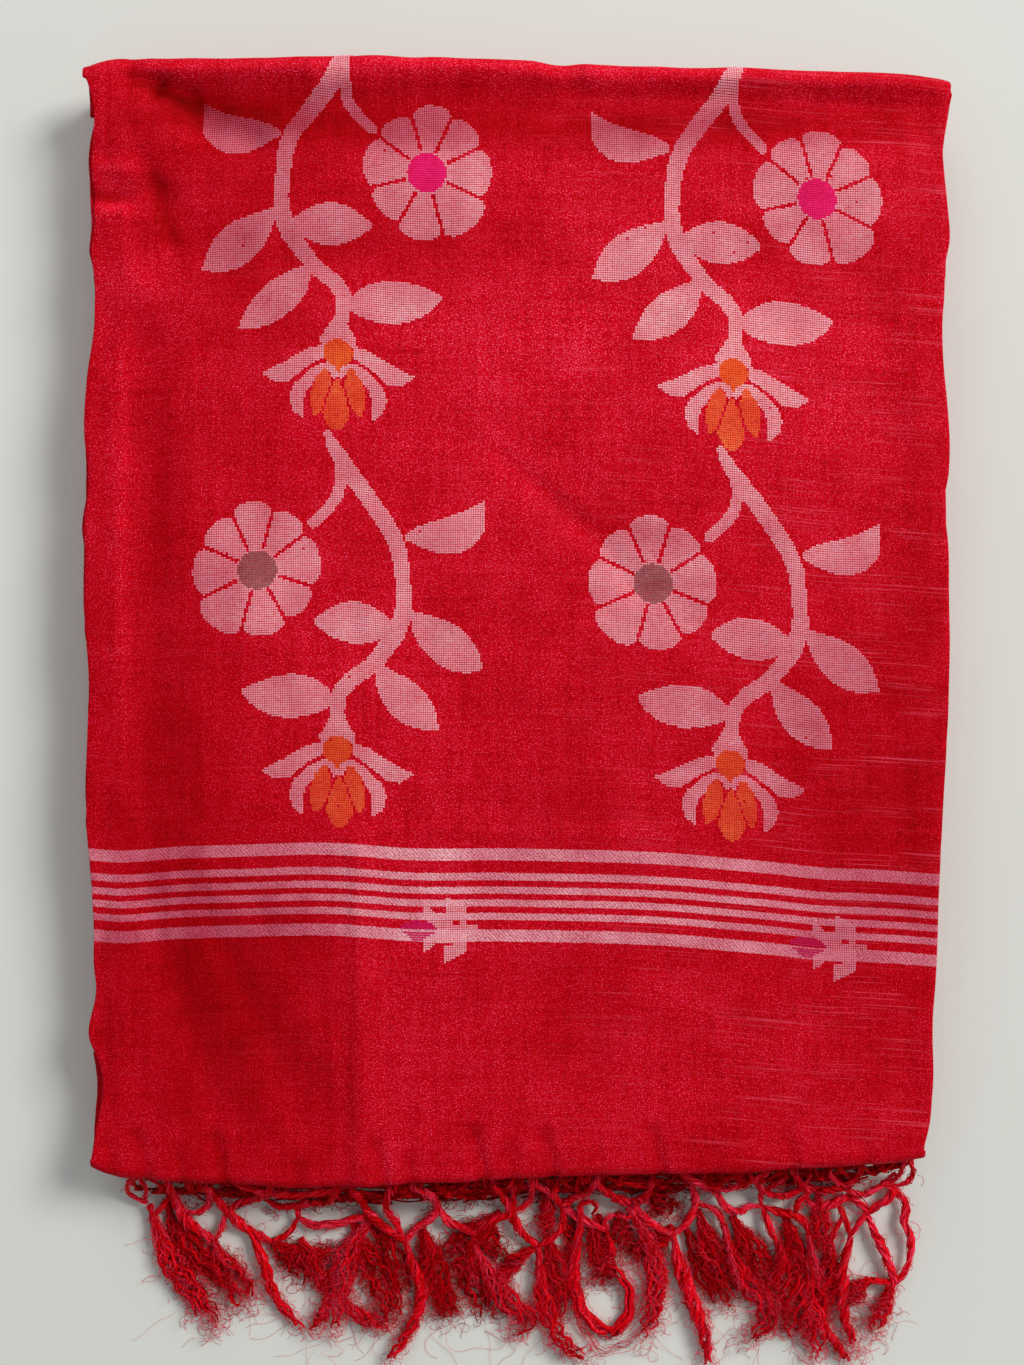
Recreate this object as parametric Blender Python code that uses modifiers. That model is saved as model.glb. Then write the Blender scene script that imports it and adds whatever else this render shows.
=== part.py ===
"""A handwoven saree, folded into a flat bundle, with its knotted fringe hanging out at the front.

The cloth is folded in four across its width, so each strip that shows is four layers thick.
The strip lies to and fro in a stack. The last strip wraps the top of the stack, its end is
tucked under at the front, and the fringe comes out of that tuck and lies on the ground.

+X is to the right, +Y to the back edge and +Z up. Sizes are in metres.
"""

import math

import bmesh
import bpy
import numpy as np
from mathutils import Vector

MM = 0.001

# Driving sizes
HALF_WIDTH = 147 * MM
HALF_LENGTH = 190 * MM
STACK_HEIGHT = 26 * MM
STRIP_WALL = 1.6 * MM
GAP = 0.3 * MM

# The two folds of the top stretch, and how far its ends go in under them
FRONT_FOLD_RADIUS = 3.6 * MM
BACK_FOLD_RADIUS = 5.5 * MM
FRONT_FLAP = 36 * MM
BACK_FLAP = 15 * MM

# How finely each piece is cut
TOP_COLUMNS = 26
TOP_ROWS = 32
FOLD_STEPS = 6
STACK_COLUMNS = 16
STACK_ROWS = 24
LOWER_STRIPS = 8
BACK_CROWDING = 0.2
LEFT_CROWDING = 0.08

# The outline from above, in millimetres from the middle of the folded cloth
LEFT_EDGE = (  # y, x
    (-190, -145), (-170, -142.6), (-158, -142.2), (-140, -144.4), (-127, -142.6),
    (-100, -144.6), (-70, -146), (-40, -145.6), (-18, -145.4), (8, -146.8),
    (33, -147), (62, -146.7), (80, -145.6), (98, -143.2), (125, -145.2),
    (150, -143.6), (172, -144), (192, -148),
)
RIGHT_EDGE = (  # y, x
    (-190, 140), (-180, 138.6), (-166, 140.8), (-120, 142), (-90, 143.6),
    (-60, 145.4), (-20, 147), (10, 146.8), (50, 146.8), (85, 144.6),
    (105, 144.9), (125, 147), (150, 145), (165, 146.2), (178, 147.8), (192, 145.5),
)
BACK_EDGE = (  # x, y
    (-147, 187.5), (-138, 190.2), (-115, 190.6), (-72, 191), (-66, 192.2),
    (-20, 190.6), (5, 189.8), (17, 187.4), (26, 189), (60, 187.6),
    (110, 186), (136, 184), (147, 180.5),
)
FRONT_EDGE = (  # x, y
    (-147, -184), (-138, -188.6), (-122, -190.8), (-80, -192.8), (-35, -193.4),
    (0, -191), (50, -189), (90, -187), (120, -185), (140, -182),
)

# How high each part of the top lies above or below the stack's own height
LOW_AREAS = (  # x, y, half width, half length, drop in millimetres
    (-105, -150, 70, 70, 3.2),
    (120, -150, 60, 90, 1.6),
    (-150, 40, 22, 170, 1.0),
    (30, -140, 26, 45, 0.8),
)
# The main creases. A trough has a depth above zero, and a ridge one below zero
CREASES = (  # x0, y0, x1, y1, half width, depth, in millimetres
    (-100, 174, 152, 171, 11, 3.4),
    (-132, 184, -92, 162, 8, 2.6),
    (-146, 146, -118, 142, 6, 1.4),
    (-126, 118, -104, 152, 9, 1.0),
    (-128, 92, -126, -76, 9, 1.2),
    (-8, 62, 46, 14, 8, 0.9),
    (-54, -80, -52, -186, 7, -1.2),
    (-124, -100, -92, -182, 9, 1.0),
    (-98, -114, -64, -170, 8, 0.8),
)


def along(rows, place):
    """The smooth curve through a table's rows, read at place."""
    known = np.array(rows, float)
    order = np.argsort(known[:, 0])
    at, value = known[order, 0], known[order, 1]
    slope = np.gradient(value, at)
    place = np.clip(place, at[0], at[-1])
    i = np.clip(np.searchsorted(at, place) - 1, 0, len(at) - 2)
    step = at[i + 1] - at[i]
    q = (place - at[i]) / step
    start, end = value[i], value[i + 1]
    start_slope, end_slope = slope[i] * step, slope[i + 1] * step
    return (
        (2 * q**3 - 3 * q**2 + 1) * start
        + (q**3 - 2 * q**2 + q) * start_slope
        + (3 * q**2 - 2 * q**3) * end
        + (q**3 - q**2) * end_slope
    )


def up_shares(rows):
    """Shares from the front to the back, closer together at the back, where the trough is."""
    even = np.linspace(0, 1, rows + 1)
    return even + BACK_CROWDING * np.sin(math.pi * even)


def across_shares(columns):
    """Shares from the left to the right, closer together at the left, where the creases are."""
    even = np.linspace(0, 1, columns + 1)
    return even - LEFT_CROWDING * np.sin(math.pi * even)


def smooth_step(value, low, high):
    q = np.clip((value - low) / (high - low), 0, 1)
    return q * q * (3 - 2 * q)


def mixed(a, b, share):
    return a + (b - a) * share


def edge_x(across, y):
    """x on the line that is a share of the way across the cloth, left to right."""
    left = along(LEFT_EDGE, y / MM) * MM
    right = along(RIGHT_EDGE, y / MM) * MM
    return mixed(left, right, across)


def front_y(x):
    return along(FRONT_EDGE, x / MM) * MM


def back_y(x):
    return along(BACK_EDGE, x / MM) * MM


def inside(across, up, front_in=0.0, back_in=0.0):
    """A point of the outline's grid. The last two are how far its first and last rows lie in."""
    x = edge_x(across, mixed(-HALF_LENGTH + front_in, HALF_LENGTH - back_in, up))
    y = mixed(front_y(x) + front_in, back_y(x) - back_in, up)
    return x, y


def crease_drop(x, y):
    """How far the creases lower the cloth at a point."""
    drop = 0.0
    for x0, y0, x1, y1, half_width, depth in CREASES:
        run_x, run_y = (x1 - x0) * MM, (y1 - y0) * MM
        length_squared = run_x**2 + run_y**2
        share = ((x - x0 * MM) * run_x + (y - y0 * MM) * run_y) / length_squared
        nearest = np.clip(share, 0, 1)
        away = math.hypot(x - x0 * MM - nearest * run_x, y - y0 * MM - nearest * run_y)
        drop += depth * MM * math.exp(-((away / (half_width * MM)) ** 2))
    return drop


def top_height(x, y):
    """The height of the upper face of the top stretch."""
    drop = crease_drop(x, y)
    for x0, y0, half_width, half_length, depth in LOW_AREAS:
        reach = ((x / MM - x0) / half_width) ** 2 + ((y / MM - y0) / half_length) ** 2
        drop += depth * MM * math.exp(-reach)
    return STACK_HEIGHT - drop


def front_height(x):
    """The height of the top stretch where it starts to turn down at the front."""
    return top_height(x, front_y(x) + FRONT_FOLD_RADIUS)


def back_height(x):
    return top_height(x, back_y(x) - BACK_FOLD_RADIUS)


def new_mesh_object(name, points, faces, material, collection):
    mesh = bpy.data.meshes.new(name)
    mesh.from_pydata([tuple(p) for p in points], [], faces)
    mesh.materials.append(material)
    mesh.update()
    obj = bpy.data.objects.new(name, mesh)
    collection.objects.link(obj)
    return obj


def grid_faces(columns, rows):
    """Quads of a grid of columns by rows cells, whose points run row by row."""
    wide = columns + 1
    return [
        (r * wide + c, r * wide + c + 1, (r + 1) * wide + c + 1, (r + 1) * wide + c)
        for r in range(rows)
        for c in range(columns)
    ]


def make_wall(name, rows_of_points, material, collection):
    """A wall of cloth: its outer face is the grid, and Solidify makes it thick inwards."""
    points = [p for row in rows_of_points for p in row]
    faces = grid_faces(len(rows_of_points[0]) - 1, len(rows_of_points) - 1)
    wall = new_mesh_object(name, points, faces, material, collection)
    solid = wall.modifiers.new("thickness", "SOLIDIFY")
    solid.thickness = STRIP_WALL
    solid.offset = -1
    solid.use_even_offset = True
    wall.data.shade_smooth()
    wall.data.set_sharp_from_angle(angle=math.radians(50))
    return wall


def folded_point(across, part, share):
    """A point on the top stretch: part is the piece of its path and share how far along that it is."""
    if part == "front flap":
        x, y = inside(across, 0.0)
        z = front_height(x) - 2 * FRONT_FOLD_RADIUS
        return x, y + mixed(FRONT_FLAP, FRONT_FOLD_RADIUS, share), z
    if part == "front fold":
        x, y = inside(across, 0.0)
        turn = math.pi * share
        z = front_height(x) - FRONT_FOLD_RADIUS * (1 + math.cos(turn))
        return x, y + FRONT_FOLD_RADIUS * (1 - math.sin(turn)), z
    if part == "top":
        x, y = inside(across, share, FRONT_FOLD_RADIUS, BACK_FOLD_RADIUS)
        return x, y, top_height(x, y)
    x, y = inside(across, 1.0)
    if part == "back fold":
        turn = math.pi * share
        z = back_height(x) - BACK_FOLD_RADIUS * (1 - math.cos(turn))
        return x, y - BACK_FOLD_RADIUS * (1 - math.sin(turn)), z
    z = back_height(x) - 2 * BACK_FOLD_RADIUS
    return x, y - mixed(BACK_FOLD_RADIUS, BACK_FLAP, share), z


def make_top_stretch(material, collection):
    """The stretch on top, from its flap at the front, over both folds, to its flap at the back."""
    path = [("front flap", 0.0)]
    path += [("front fold", i / FOLD_STEPS) for i in range(FOLD_STEPS)]
    path += [("top", share) for share in up_shares(TOP_ROWS)]
    path += [("back fold", i / FOLD_STEPS) for i in range(1, FOLD_STEPS + 1)]
    path += [("back flap", 1.0)]
    columns = across_shares(TOP_COLUMNS)
    rows = [[folded_point(s, part, share) for s in columns] for part, share in path]
    return make_wall("top_stretch", rows, material, collection)


# The second stretch shows past the left edge of the top one
SECOND_BAND = 14 * MM
SECOND_DROP = STRIP_WALL + 3 * GAP
SECOND_SHOWS = (  # y, how far it stands out, in millimetres
    (-120, -1.0), (-90, 0.2), (-60, 0.8), (-10, 0.4), (20, 1.0),
    (45, 1.2), (70, 0.2), (110, 0.3), (150, 1.8), (164, 1.2), (176, -1.0),
)
SECOND_FRONT, SECOND_BACK = -110 * MM, 168 * MM
SECOND_ROWS = 26


def second_rows(drop, margin):
    """Rows of points across the second stretch, drop below the top and wider by margin."""
    rows = []
    for share in np.linspace(0, 1, SECOND_ROWS + 1):
        y = mixed(SECOND_FRONT - margin, SECOND_BACK + margin, share)
        left = edge_x(0.0, y) - along(SECOND_SHOWS, y / MM) * MM - margin
        right = edge_x(0.0, y) + SECOND_BAND + margin
        row = [(mixed(left, right, part), y) for part in (0.0, 0.5, 1.0)]
        rows.append([(x, y, top_height(x, y) - drop) for x, y in row])
    return rows


def make_second_stretch(material, collection):
    """A band of the next stretch, along the left edge, where it shows."""
    return make_wall("second_stretch", second_rows(SECOND_DROP, 0.0), material, collection)


def cut_second_seat(stack, material, cutters):
    """Cut the step in the stack that the second stretch lies on."""
    rows = second_rows(STRIP_WALL - GAP, 3 * GAP)
    cutter = make_wall("second_seat_cutter", rows, material, cutters)
    cutter.modifiers["thickness"].thickness = STRIP_WALL + 5 * GAP
    cutter.hide_render = True
    cutter.display_type = "WIRE"
    seat = stack.modifiers.new("second seat", "BOOLEAN")
    seat.operation = "DIFFERENCE"
    seat.solver = "EXACT"
    seat.object = cutter


# The tucked end lies under the front flap, and the fringe hangs from its edge
TUCK_FRONT = 5.6 * MM
TUCK_SIDE = 2.5 * MM
TUCK_DROP = 2 * FRONT_FOLD_RADIUS + GAP


def make_tucked_end(material, collection):
    """The end of the length, folded under: a flat strip with a narrow margin at its sides."""
    rows = []
    for in_from_front in (TUCK_FRONT, mixed(TUCK_FRONT, FRONT_FLAP, 0.5), FRONT_FLAP):
        row = []
        for across in across_shares(TOP_COLUMNS):
            x, y = inside(across, 0.0)
            side = TUCK_SIDE * (1 - 2 * across)
            row.append((x + side, y + in_from_front, front_height(x) - TUCK_DROP))
        rows.append(row)
    return make_wall("tucked_end", rows, material, collection)


# The stack under the top stretch
SLOT_FRONT_DROP = TUCK_DROP + STRIP_WALL + 3 * GAP
SLOT_BACK_DROP = 2 * BACK_FOLD_RADIUS + 2 * GAP
FLAP_CLEARANCE = 3 * GAP
SLOT_SIDE = 1.4 * MM
SLOT_SIDE_HALF_HEIGHT = 0.4 * MM
TOP_CLEARANCE = STRIP_WALL + 2 * GAP
SAG = 5 * MM
SIDE_GROOVE = 1.2 * MM
FOLD_GROOVE = 2.2 * MM
LOWER_IN = 2.6 * MM


def strip_shift(strip, side):
    """How far one strip lies in or out of line on one side, so that the stack looks laid by hand."""
    return 0.8 * MM * math.sin(2.3 * strip + 1.7 * side) + 0.4 * MM * math.sin(5.1 * strip + side)


def lower_ring(level):
    """A ring of the lower stack: its height as a share, and how far in it lies on each side."""
    strip = level / 2
    shift = [strip_shift(round(strip), side) for side in range(4)]
    at_boundary = level % 2 == 0
    back_groove = FOLD_GROOVE * (0.5 + 0.5 * math.cos(math.pi * strip)) ** 2
    front_groove = FOLD_GROOVE * (0.5 - 0.5 * math.cos(math.pi * strip)) ** 2
    side_groove = SIDE_GROOVE if at_boundary else 0.0
    return {
        "height": strip / LOWER_STRIPS,
        "front": LOWER_IN + front_groove + shift[0],
        "back": LOWER_IN + back_groove + shift[1],
        "left": side_groove + LOWER_IN / 2 + shift[2],
        "right": side_groove + LOWER_IN / 2 + shift[3],
    }


def slot_heights(x, y):
    """The floor and the ceiling of the slot that holds the flaps, at a point of the outline."""
    from_front, from_back = y - front_y(x), back_y(x) - y
    at_front = 1 - smooth_step(from_front, FRONT_FLAP + 8 * MM, FRONT_FLAP + 40 * MM)
    at_back = 1 - smooth_step(from_back, BACK_FLAP + 8 * MM, BACK_FLAP + 40 * MM)
    front_floor = front_height(x) - SLOT_FRONT_DROP
    front_ceiling = front_height(x) - 2 * FRONT_FOLD_RADIUS + STRIP_WALL + FLAP_CLEARANCE
    back_floor = back_height(x) - SLOT_BACK_DROP
    back_ceiling = back_height(x) - 2 * BACK_FOLD_RADIUS + STRIP_WALL + FLAP_CLEARANCE
    share = smooth_step(y, -HALF_LENGTH, HALF_LENGTH)
    middle = mixed(front_floor + front_ceiling, back_floor + back_ceiling, share) / 2
    floor, ceiling = middle - SLOT_SIDE_HALF_HEIGHT, middle + SLOT_SIDE_HALF_HEIGHT
    floor = mixed(mixed(floor, front_floor, at_front), back_floor, at_back)
    ceiling = mixed(mixed(ceiling, front_ceiling, at_front), back_ceiling, at_back)
    return floor, ceiling


def stack_top(x, y):
    """The height of the stack's top: it stays under the lowest part of the cloth nearby."""
    near = [(0, 0), (-SAG, 0), (SAG, 0), (0, -SAG), (0, SAG)]
    return min(top_height(x + dx, y + dy) for dx, dy in near) - TOP_CLEARANCE


def nose_ring(turn):
    """A ring of the upper stack, which fills the two folds of the top stretch."""
    front_nose = FRONT_FOLD_RADIUS - STRIP_WALL - 2 * GAP
    back_nose = BACK_FOLD_RADIUS - STRIP_WALL - 3 * GAP
    groove = SIDE_GROOVE * (0.5 + 0.5 * math.cos(4 * turn))
    return {
        "turn": turn,
        "front": FRONT_FOLD_RADIUS - front_nose * math.cos(turn),
        "back": BACK_FOLD_RADIUS - back_nose * math.cos(turn),
        "left": GAP + groove,
        "right": GAP + groove,
    }


def stack_point(ring, across, up):
    """A point of a ring, or of the cap inside it, at a share across and up the outline."""
    across_in = mixed(ring["left"], 2 * HALF_WIDTH - ring["right"], across) / (2 * HALF_WIDTH)
    return inside(across_in, up, ring["front"], ring["back"])


def ring_height(ring, x, y):
    """The height of a ring at a point. Its keys say what the height is worked out from."""
    if "height" in ring:
        return ring["height"] * slot_heights(x, y)[0]
    if "slot" in ring:
        return slot_heights(x, y)[ring["slot"]]
    ceiling = slot_heights(x, y)[1]
    highest = stack_top(x, y)
    return mixed(ceiling, highest, 0.5 + 0.5 * math.sin(ring["turn"]))


def stack_rings():
    """All the rings of the stack, from the ground to its top."""
    lower = [lower_ring(level) for level in range(2 * LOWER_STRIPS)]
    sides = {side: SLOT_SIDE + LOWER_IN / 2 for side in ("left", "right")}
    mouth = {"slot": 0, "front": LOWER_IN, "back": LOWER_IN, "left": LOWER_IN / 2, "right": LOWER_IN / 2}
    floor = {"slot": 0, "front": FRONT_FLAP + 2 * MM, "back": BACK_FLAP + 2 * MM, **sides}
    ceiling = {**floor, "slot": 1}
    noses = [nose_ring(math.radians(turn)) for turn in (-90, -40, 0, 40, 90)]
    return [*lower, mouth, floor, ceiling, *noses]


def boundary_cells():
    """The grid places round the outline, anticlockwise from the front left corner."""
    front = [(c, 0) for c in range(STACK_COLUMNS)]
    right = [(STACK_COLUMNS, r) for r in range(STACK_ROWS)]
    back = [(c, STACK_ROWS) for c in range(STACK_COLUMNS, 0, -1)]
    left = [(0, r) for r in range(STACK_ROWS, 0, -1)]
    return front + right + back + left


def make_folded_stack(material, collection):
    """All the hidden layers in one solid: rings joined from the ground up, and a grid on top."""
    rings, places = stack_rings(), boundary_cells()
    across, up = across_shares(STACK_COLUMNS), up_shares(STACK_ROWS)
    points, faces = [], []
    for ring in rings:
        for column, row in places:
            x, y = stack_point(ring, across[column], up[row])
            points.append((x, y, ring_height(ring, x, y)))
    around = len(places)
    for i in range(len(rings) - 1):
        for j in range(around):
            k = (j + 1) % around
            faces.append((i * around + j, i * around + k, (i + 1) * around + k, (i + 1) * around + j))
    faces.append(tuple(reversed(range(around))))
    index = {place: (len(rings) - 1) * around + j for j, place in enumerate(places)}
    for row in range(1, STACK_ROWS):
        for column in range(1, STACK_COLUMNS):
            x, y = stack_point(rings[-1], across[column], up[row])
            index[column, row] = len(points)
            points.append((x, y, stack_top(x, y)))
    for row in range(STACK_ROWS):
        for column in range(STACK_COLUMNS):
            corners = ((0, 0), (1, 0), (1, 1), (0, 1))
            faces.append(tuple(index[column + c, row + r] for c, r in corners))
    stack = new_mesh_object("folded_stack", points, faces, material, collection)
    stack.data.shade_smooth()
    stack.data.set_sharp_from_angle(angle=math.radians(35))
    return stack


# The fringe: a strip at the tucked end's edge, a knotted net under it and loose locks
STRIP_HALF_DEPTH = 1.5 * MM
STRIP_THICK = 1.4 * MM
STRIP_OVERHANG = 4 * MM
FLOOR_GAP = 0.4 * MM
LEG_WIDTH = 1.5 * MM
LEG_THICK = 1.4 * MM
KNOT_REACH = 1.7 * MM
KNOT_THICK = 3.0 * MM
KNOT_ROWS = (13 * MM, 28 * MM)
LOCK_HALF_WIDTH = 1.9 * MM
LOCK_THICK = 2.2 * MM
LOCK_STEPS = 8
FALL = (  # length down the fringe, how far out from the front edge, height as a share of the root's
    (0, -3.8, 1.0), (6, 2.2, 0.97), (11, 6.0, 0.76), (17, 9.2, 0.36),
    (23, 13.0, 0.1), (30, 19.0, 0.0), (60, 49.0, 0.0), (90, 79.0, 0.0),
)
LOCKS = (  # x of the knot, lean of the tip, reach past the knot, sway to the side, half width
    (-129.4, 23, 39, -6, 3.5), (-117, 22, 34, 1, 4.2), (-100.4, 26, 42, -1, 1.7),
    (-86, 12, 20, 0, 3.0), (-72, 5, 44, 2, 5.0), (-60, 13, 40, 2, 4.5),
    (-50.9, 4, 53, 11, 2.8), (-28.6, 6, 38, 1, 5.5), (-14.1, 1, 28, 1, 2.2),
    (-1.4, 4, 44, -4, 4.0), (8.5, 12, 51, -5, 2.4), (16.7, 1.5, 22, 0, 4.0),
    (26.2, 6, 40, 7, 2.0), (45, 0, 44, 4, 4.5), (55.2, 12, 53, -2, 3.0),
    (67.2, 11, 33, 0, 3.8), (78.6, 2, 47, 8, 2.5), (96.9, 4, 44, 1, 6.2),
    (110.7, -3, 53, 2, 2.8), (118.2, 2, 53, -1, 2.8), (125.2, 4, 44, 6, 2.0),
    (134.8, 1, 26, 7, 1.8),
)


def fringe_place(x, length):
    """The point that lies a length down the fringe, on the line that starts at x."""
    rows = np.array(FALL)
    out = along(rows[:, :2], length / MM) * MM
    share = max(0.0, along(rows[:, [0, 2]], length / MM))
    root = front_height(x) - TUCK_DROP - GAP - STRIP_THICK / 2
    low = FLOOR_GAP + KNOT_THICK / 2
    return Vector((x, front_y(x) - out, mixed(low, root, share)))


def knot_place(row, number):
    """Where a knot of the net lies, as x and length. Row 0 holds the roots on the strip."""
    known = [lock[0] * MM for lock in LOCKS]
    if row == 0:
        return known[number], STRIP_HALF_DEPTH
    length = KNOT_ROWS[row - 1] + 1.6 * MM * math.sin(4.1 * number + 2 * row)
    if row == 2:
        return known[number], length
    left = known[max(number - 1, 0)] - (5 * MM if number == 0 else 0)
    right = known[min(number, len(known) - 1)] + (5 * MM if number == len(known) else 0)
    return (left + right) / 2, length


class FringeSheet:
    """The fringe as one flat cut sheet, with the thickness that each of its points is to have."""

    def __init__(self):
        self.points = []
        self.thick = []
        self.faces = []

    def add(self, place, thick):
        self.points.append(place)
        self.thick.append(thick)
        return len(self.points) - 1

    def add_flat(self, x, length, thick):
        return self.add(fringe_place(x, length), thick)

    def add_leg(self, start, end, steps):
        """A leg between two edges of the sheet, narrow in its middle."""
        near = start
        for i in range(1, steps + 1):
            far = end
            if i < steps:
                left, right = (
                    mixed(self.points[start[side]], self.points[end[side]], i / steps)
                    for side in (0, 1)
                )
                middle = (left + right) / 2
                fallen = fringe_place(middle.x, mixed(start[2], end[2], i / steps))
                half = (right - left).normalized() * LEG_WIDTH / 2
                far = [self.add(fallen - half, LEG_THICK), self.add(fallen + half, LEG_THICK)]
            self.faces.append((near[0], far[0], far[1], near[1]))
            near = far

    def add_lock(self, number, left, right, length):
        """A loose lock, from its knot out over the ground to a thin tip."""
        lean, reach, sway, widest = (value * MM for value in LOCKS[number][1:])
        x = (self.points[left].x + self.points[right].x) / 2
        for q in np.linspace(0, 1, LOCK_STEPS + 1)[1:]:
            wave = 0.9 * MM * q * math.sin(9 * q + number)
            aside = lean * q + sway * math.sin(math.pi * q) + wave
            turn = math.atan2(lean + sway * math.pi * math.cos(math.pi * q), reach)
            half = mixed(LOCK_HALF_WIDTH, widest, smooth_step(q, 0, 0.4)) * (1 - 0.65 * q**3)
            thick = LOCK_THICK * (1 - 0.6 * q**3)
            lift = 0.8 * MM * (1 + math.sin(7 * q + 2 * number)) * (1 - q)
            middle = fringe_place(x, length + reach * q)
            middle.x += aside
            middle.z = mixed(middle.z, FLOOR_GAP + thick / 2 + lift, smooth_step(q, 0, 0.3))
            edge = Vector((math.cos(turn), math.sin(turn), 0)) * half
            far_left, far_right = self.add(middle - edge, thick), self.add(middle + edge, thick)
            self.faces.append((left, far_left, far_right, right))
            left, right = far_left, far_right


def strip_columns(sheet):
    """Add the strip's points and faces, and return the points of its lower edge at each root."""
    places = [knot_place(0, 0)[0] - STRIP_OVERHANG]
    for number in range(len(LOCKS)):
        x = knot_place(0, number)[0]
        places += [x - LEG_WIDTH, x, x + LEG_WIDTH]
    places.append(places[-2] + STRIP_OVERHANG)
    upper = [sheet.add_flat(x, -STRIP_HALF_DEPTH, STRIP_THICK) for x in places]
    lower = [sheet.add_flat(x, STRIP_HALF_DEPTH, STRIP_THICK) for x in places]
    for i in range(len(places) - 1):
        sheet.faces.append((upper[i], lower[i], lower[i + 1], upper[i + 1]))
    return [lower[1 + 3 * number : 4 + 3 * number] for number in range(len(LOCKS))]


def make_fringe(material, collection):
    """Strip, net and locks in one sheet, which Solidify makes as thick as its points ask."""
    sheet = FringeSheet()
    roots = strip_columns(sheet)
    first = []
    for number in range(len(LOCKS) + 1):
        x, length = knot_place(1, number)
        around = ((-1, 0), (0, 1), (1, 0), (0, -1))
        knot = [
            sheet.add_flat(x + dx * KNOT_REACH, length + dl * KNOT_REACH, KNOT_THICK)
            for dx, dl in around
        ]
        sheet.faces.append(tuple(knot))
        first.append((*knot, length))
    for number in range(len(LOCKS)):
        root_left, root, root_right = roots[number]
        left, bottom, right, top, length = first[number]
        sheet.add_leg((root_left, root, STRIP_HALF_DEPTH), (top, right, length - KNOT_REACH / 2), 3)
        x2, length2 = knot_place(2, number)
        left2 = sheet.add_flat(x2 - LOCK_HALF_WIDTH, length2, KNOT_THICK)
        right2 = sheet.add_flat(x2 + LOCK_HALF_WIDTH, length2, KNOT_THICK)
        top2 = sheet.add_flat(x2, length2 - KNOT_REACH, KNOT_THICK)
        sheet.faces.append((left2, right2, top2))
        start, end = length + KNOT_REACH / 2, length2 - KNOT_REACH / 2
        sheet.add_leg((bottom, right, start), (left2, top2, end), 2)
        left, bottom, right, top, length = first[number + 1]
        sheet.add_leg((root, root_right, STRIP_HALF_DEPTH), (left, top, length - KNOT_REACH / 2), 3)
        start = length + KNOT_REACH / 2
        sheet.add_leg((left, bottom, start), (top2, right2, end), 2)
        sheet.add_lock(number, left2, right2, length2)
    fringe = new_mesh_object("fringe", sheet.points, sheet.faces, material, collection)
    group = fringe.vertex_groups.new(name="thickness")
    for index, thick in enumerate(sheet.thick):
        group.add([index], thick / KNOT_THICK, "REPLACE")
    solid = fringe.modifiers.new("thickness", "SOLIDIFY")
    solid.thickness = KNOT_THICK
    solid.offset = 0
    solid.vertex_group = group.name
    return fringe


def centre_all():
    """Move everything so that the middle of the whole box's underside is the origin."""
    bpy.context.view_layer.update()
    depsgraph = bpy.context.evaluated_depsgraph_get()
    corners = []
    for obj in bpy.data.objects:
        if not obj.hide_render:
            corners += [Vector(c) for c in obj.evaluated_get(depsgraph).bound_box]
    low = [min(c[axis] for c in corners) for axis in range(3)]
    high = [max(c[axis] for c in corners) for axis in range(3)]
    middle = Vector(((low[0] + high[0]) / 2, (low[1] + high[1]) / 2, low[2]))
    for obj in bpy.data.objects:
        for vertex in obj.data.vertices:
            vertex.co -= middle


def make_material(name, colour, roughness):
    material = bpy.data.materials.new(name)
    material.use_nodes = True
    shader = material.node_tree.nodes["Principled BSDF"]
    shader.inputs["Base Color"].default_value = (*colour, 1)
    shader.inputs["Roughness"].default_value = roughness
    shader.inputs["Metallic"].default_value = 0
    return material


def clear_scene():
    for obj in list(bpy.data.objects):
        bpy.data.objects.remove(obj)


def main():
    clear_scene()
    collection = bpy.data.collections.new("saree")
    cutters = bpy.data.collections.new("saree cutters")
    bpy.context.scene.collection.children.link(collection)
    bpy.context.scene.collection.children.link(cutters)
    cloth = make_material("red cloth", (0.52, 0.004, 0.016), 0.75)
    fringe_yarn = make_material("red fringe", (0.5, 0.012, 0.035), 0.85)
    stack = make_folded_stack(cloth, collection)
    cut_second_seat(stack, cloth, cutters)
    make_top_stretch(cloth, collection)
    make_tucked_end(cloth, collection)
    make_second_stretch(cloth, collection)
    make_fringe(fringe_yarn, collection)
    centre_all()


main()
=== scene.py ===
"""The look of the folded red saree: cloth, inlaid vines, stripes, layered edges and fringe.

Points are worked out in the cloth's own frame, in millimetres from the middle of the folded
rectangle, and moved to the row's frame in metres when a mesh is made.
"""

import math

import bpy
import numpy as np
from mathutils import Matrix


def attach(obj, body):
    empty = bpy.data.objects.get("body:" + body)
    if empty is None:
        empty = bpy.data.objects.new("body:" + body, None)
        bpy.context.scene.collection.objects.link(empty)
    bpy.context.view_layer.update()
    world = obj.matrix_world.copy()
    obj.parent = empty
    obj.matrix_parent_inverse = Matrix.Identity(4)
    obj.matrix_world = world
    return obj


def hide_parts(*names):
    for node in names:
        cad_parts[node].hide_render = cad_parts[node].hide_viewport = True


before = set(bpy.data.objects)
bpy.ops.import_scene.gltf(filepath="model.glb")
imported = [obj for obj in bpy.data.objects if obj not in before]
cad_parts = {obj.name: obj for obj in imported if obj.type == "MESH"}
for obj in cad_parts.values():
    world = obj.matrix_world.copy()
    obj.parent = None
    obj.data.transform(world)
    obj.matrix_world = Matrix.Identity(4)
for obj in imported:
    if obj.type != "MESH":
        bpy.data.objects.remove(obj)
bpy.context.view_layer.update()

MM = 0.001
SHIFT_X, SHIFT_Y = 0.258, 35.222  # from the cloth's frame to the row's

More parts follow.
